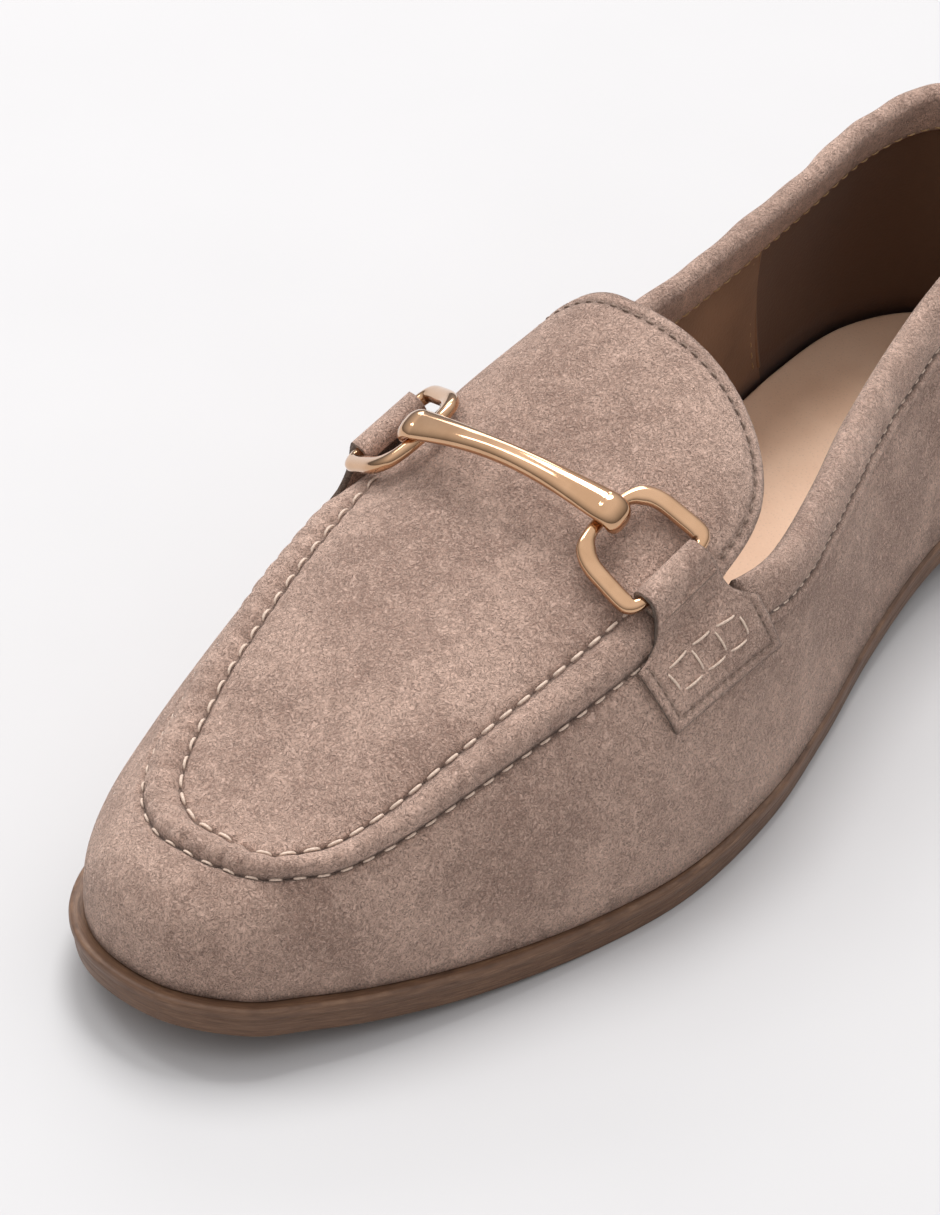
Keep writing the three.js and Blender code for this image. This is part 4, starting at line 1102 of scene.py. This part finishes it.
def make_strap(side, label):
    """A suede strap: round the ring's straight side, down the instep and flared into its stitched base.

    Its sheet runs across between two edge curves, level with the ring at the fold and on the last below."""
    _, centre, down, back, up = ring_frame(side)
    pin = centre + down * RING_DEPTH / 2
    half = -FRONT_BACK[0] * FOLD_WIDTH
    scale = np.array([FOLD_WIDTH, FOLD_WIDTH * (1 if side > 0 else INNER_SHORTENING)])
    v = np.linspace(0, 1, 61)

    def edge_line(back_shares, down_shares):
        points = np.stack([back_shares, down_shares], 1) * scale
        curve = np.stack([along(EDGE_ROW[:5], points[:5, k], v) for k in (0, 1)], 1)
        t = np.clip((v - EDGE_ROW[4]) / (1 - EDGE_ROW[4]), 0, 1)[:, None]
        return np.where(t > 0, points[4] * (1 - t) + points[5] * t, curve), points[4:]

    front, front_corners = edge_line(FRONT_BACK, FRONT_DOWN)
    rear, rear_corners = edge_line(REAR_BACK, REAR_DOWN)
    u = np.linspace(0, 1, 56)
    place = front[:, None] * (1 - u)[:, None] + rear[:, None] * u[:, None]
    seen = place + [pin @ back, pin @ down]
    steps, angles, _ = find(back, down, seen[..., 0], seen[..., 1], side, 6.4, 0.9)
    sides = np.full(steps.shape, side)
    ground = last(steps, sides, angles)
    out = facing(steps, sides, angles)
    roll = np.maximum(roll_lift(steps, sides, angles)[0], 0)
    lift = 1.6 + 0.8 * roll
    inner_edge = np.minimum(np.minimum(u, 1 - u) * STRAP_SPREAD, ((1 - v) * STRAP_RUN)[:, None])
    base = smooth((v - 0.44) / 0.1)[:, None]
    soften = 0.3 * np.exp(-((inner_edge / 0.5) ** 2))
    soften = soften + 0.22 * base * np.exp(-(((inner_edge - 2) / 0.45) ** 2))
    surface = ground + out * (lift - soften)[..., None]
    over = pin + place[..., :1] * back + place[..., 1:] * down + up * FOLD_RADIUS
    settle = smooth((place[..., 1] - 0.5) / 6.5)[..., None]
    sheet = over * (1 - settle) + surface * settle
    # Painted shade along the strap's cut edge and in the rim-stitch groove of its base.
    painted_shade = 0.6 * np.exp(-((inner_edge / 0.4) ** 2)) + 0.4 * base * np.exp(-(((inner_edge - 2) / 0.4) ** 2))
    turns = np.linspace(90, 270, 24)[1:] * np.pi / 180
    curve = pin[None] + FOLD_RADIUS * (np.cos(turns)[:, None] * down + np.sin(turns)[:, None] * up)
    row = (u - 0.5) * 2 * half
    fold = curve[:, None] + row[None, :, None] * back
    under_down = np.linspace(0.4, 5, 8)
    under = pin + under_down[:, None, None] * down + row[None, :, None] * back
    under = under - up * (FOLD_RADIUS - 0.12 * under_down)[:, None, None]
    points = np.concatenate([under[::-1], fold[::-1], sheet])
    faces = grid_faces(len(points), len(u), flip=side > 0)
    painted_shade = np.concatenate([np.zeros((len(points) - len(v), len(u))), painted_shade])
    finishes = [suede_finish, suede_finish, raw_finish]
    made = piece("strap_" + label, points, faces, finishes, ["tab_" + label], crease=painted_shade)
    wall = made.modifiers.new("wall", "SOLIDIFY")
    wall.thickness = STRAP_THICKNESS * MM
    wall.offset = -1
    wall.material_offset_rim = 2

    def on_base(corners, height):
        """Places on the base from shares: u from its front to its back, w from its top to its bottom."""
        uu, ww = corners[:, :1], corners[:, 1:]
        top = front_corners[0] * (1 - uu) + rear_corners[0] * uu
        bottom = front_corners[1] * (1 - uu) + rear_corners[1] * uu
        flat = top * (1 - ww) + bottom * ww
        seen = flat + [pin @ back, pin @ down]
        steps, angles, _ = find(back, down, seen[:, 0], seen[:, 1], side, 6.4, 0.8)
        sides = np.full(steps.shape, side)
        out = facing(steps, sides, angles)
        roll = np.maximum(roll_lift(steps, sides, angles)[0], 0)
        return last(steps, sides, angles) + out * (height + 0.8 * roll)[:, None], out

    def row_of(name, corners, pitch, fill, radius, bow, finish, height):
        """Stitches along straight runs between places on the base."""
        runs = []
        for first, second in zip(corners[:-1], corners[1:]):
            t = np.linspace(0, 1, 60)[:, None]
            curve, out = on_base(np.array(first) * (1 - t) + np.array(second) * t, height)
            runs.append(between(*spaced(curve, pitch, out), fill))
        holes, ends, outs = (np.concatenate(part) for part in zip(*runs))
        stitches(name, holes, ends, outs, radius, bow, finish)

    # Painted shade: the rim stitches use thread darkened for their shadowed holes.
    row_of("strap_rim_stitches_" + label, RIM_ROW, 2.2, 0.62, 0.17, 0.2, hole_shade_thread, 1.44)
    row_of("strap_box_top_" + label, BOX_TOP, 5, 0.78, 0.25, 0.3, thread, 1.66)
    row_of("strap_box_bottom_" + label, BOX_BOTTOM, 5, 0.78, 0.25, 0.3, thread, 1.66)
    for k, ends in enumerate(zip(BOX_TOP, BOX_BOTTOM)):
        row_of("strap_box_bar_%s_%d" % (label, k), list(ends), 8, 0.8, 0.25, 0.3, thread, 1.66)


make_upper()
make_collar()
make_lining_seam()
make_seam_stitches()
make_tongue_stitches()
make_outsole()
make_heel()
make_insole()
for side, label in ((1, "outer"), (-1, "inner")):
    make_ring(side, label)
    make_strap(side, label)
make_bar()


# Floor, light and camera, in metres
FLOOR_REACH = 6
KEY_TRAVEL = (0.22, -0.42, -1.0)
LIT_SPOT = (0, -0.03, 0.05)
# Each window of light: place, width, depth and watts
WINDOWS = {"window": ((-0.95, 1.0, 1.0), 0.9, 0.5, 5), "overhead": ((-0.62, -0.12, 1.15), 0.16, 0.8, 3)}
ROOM_LOW, ROOM_HIGH = (0.14, 0.127, 0.118, 1), (0.95, 0.94, 0.95, 1)


def make_stage():
    """A pale floor, a soft key light from the heel's side, two windows for the metal, and a bright room."""
    corners = np.array([[-1, -1, 0], [1, -1, 0], [1, 1, 0], [-1, 1, 0]]) * FLOOR_REACH
    mesh = bpy.data.meshes.new("floor")
    mesh.from_pydata(corners.tolist(), [], [(0, 1, 2, 3)])
    floor = bpy.data.objects.new("floor", mesh)
    bpy.context.scene.collection.objects.link(floor)
    paper = Finish("floor_paper", Roughness=0.8, Specular_IOR_Level=0.1)
    mottle = paper.noise(60, 2)
    mesh.materials.append(paper.set(
        Base_Color=paper.ramp(mottle, (0.3, (0.58, 0.575, 0.578)), (0.7, (0.59, 0.585, 0.588)))
    ))
    key = bpy.data.objects.new("key", bpy.data.lights.new("key", "SUN"))
    key.data.energy = 1.75
    key.data.angle = math.radians(24)
    key.rotation_mode = "QUATERNION"
    key.rotation_quaternion = Vector(KEY_TRAVEL).to_track_quat("-Z", "Y")
    bpy.context.scene.collection.objects.link(key)
    for name, (place, wide, deep, energy) in WINDOWS.items():
        lamp = bpy.data.objects.new(name, bpy.data.lights.new(name, "AREA"))
        lamp.data.shape = "RECTANGLE"
        lamp.data.size, lamp.data.size_y = wide, deep
        lamp.data.energy = energy
        lamp.location = place
        lamp.rotation_mode = "QUATERNION"
        lamp.rotation_quaternion = (Vector(LIT_SPOT) - lamp.location).to_track_quat("-Z", "Y")
        bpy.context.scene.collection.objects.link(lamp)
    world = bpy.data.worlds.new("room")
    world.use_nodes = True
    nodes, links = world.node_tree.nodes, world.node_tree.links
    place = nodes.new("ShaderNodeTexCoord").outputs["Generated"]
    split = nodes.new("ShaderNodeSeparateXYZ")
    links.new(place, split.inputs[0])
    ramp = nodes.new("ShaderNodeValToRGB")
    ramp.color_ramp.elements[0].position = 0.0
    ramp.color_ramp.elements[0].color = ROOM_LOW
    ramp.color_ramp.elements[1].position = 0.85
    ramp.color_ramp.elements[1].color = ROOM_HIGH
    links.new(split.outputs["Z"], ramp.inputs["Fac"])
    links.new(ramp.outputs["Color"], nodes["Background"].inputs["Color"])
    nodes["Background"].inputs["Strength"].default_value = 1.1
    bpy.context.scene.world = world


# Sensor in millimetres, height of the frame in pixels, and pixels to a millimetre at the target
SENSOR, FRAME_HEIGHT, TARGET_SCALE = 36, 1215, 5.63


def make_camera():
    """The photograph's view: turned and raised about a point of the vamp, rolled a little, and shifted."""
    turn, raised, roll = (math.radians(v) for v in (36.93, 36.94, 1.22))
    distance, across, upward = 949.39, -4.11, 1.58
    target = np.array([-1.5, -36.75, 40])
    back = np.array([
        math.sin(turn) * math.cos(raised), -math.cos(turn) * math.cos(raised), math.sin(raised),
    ])
    right = np.array([math.cos(turn), math.sin(turn), 0])
    up = np.cross(back, right)
    right, up = (
        math.cos(roll) * right + math.sin(roll) * up, -math.sin(roll) * right + math.cos(roll) * up,
    )
    place = (target + right * across + up * upward + back * distance) * MM
    camera = bpy.data.objects.new("camera", bpy.data.cameras.new("camera"))
    camera.data.sensor_width = SENSOR
    camera.data.lens = SENSOR * TARGET_SCALE * distance / FRAME_HEIGHT
    camera.data.clip_start, camera.data.clip_end = 0.05, 50
    turned = Matrix(np.stack([right, up, back], 1).tolist())
    camera.matrix_world = Matrix.Translation(place.tolist()) @ turned.to_4x4()
    bpy.context.scene.collection.objects.link(camera)
    bpy.context.scene.camera = camera


make_stage()
make_camera()
bpy.context.scene.view_settings.view_transform = "Standard"
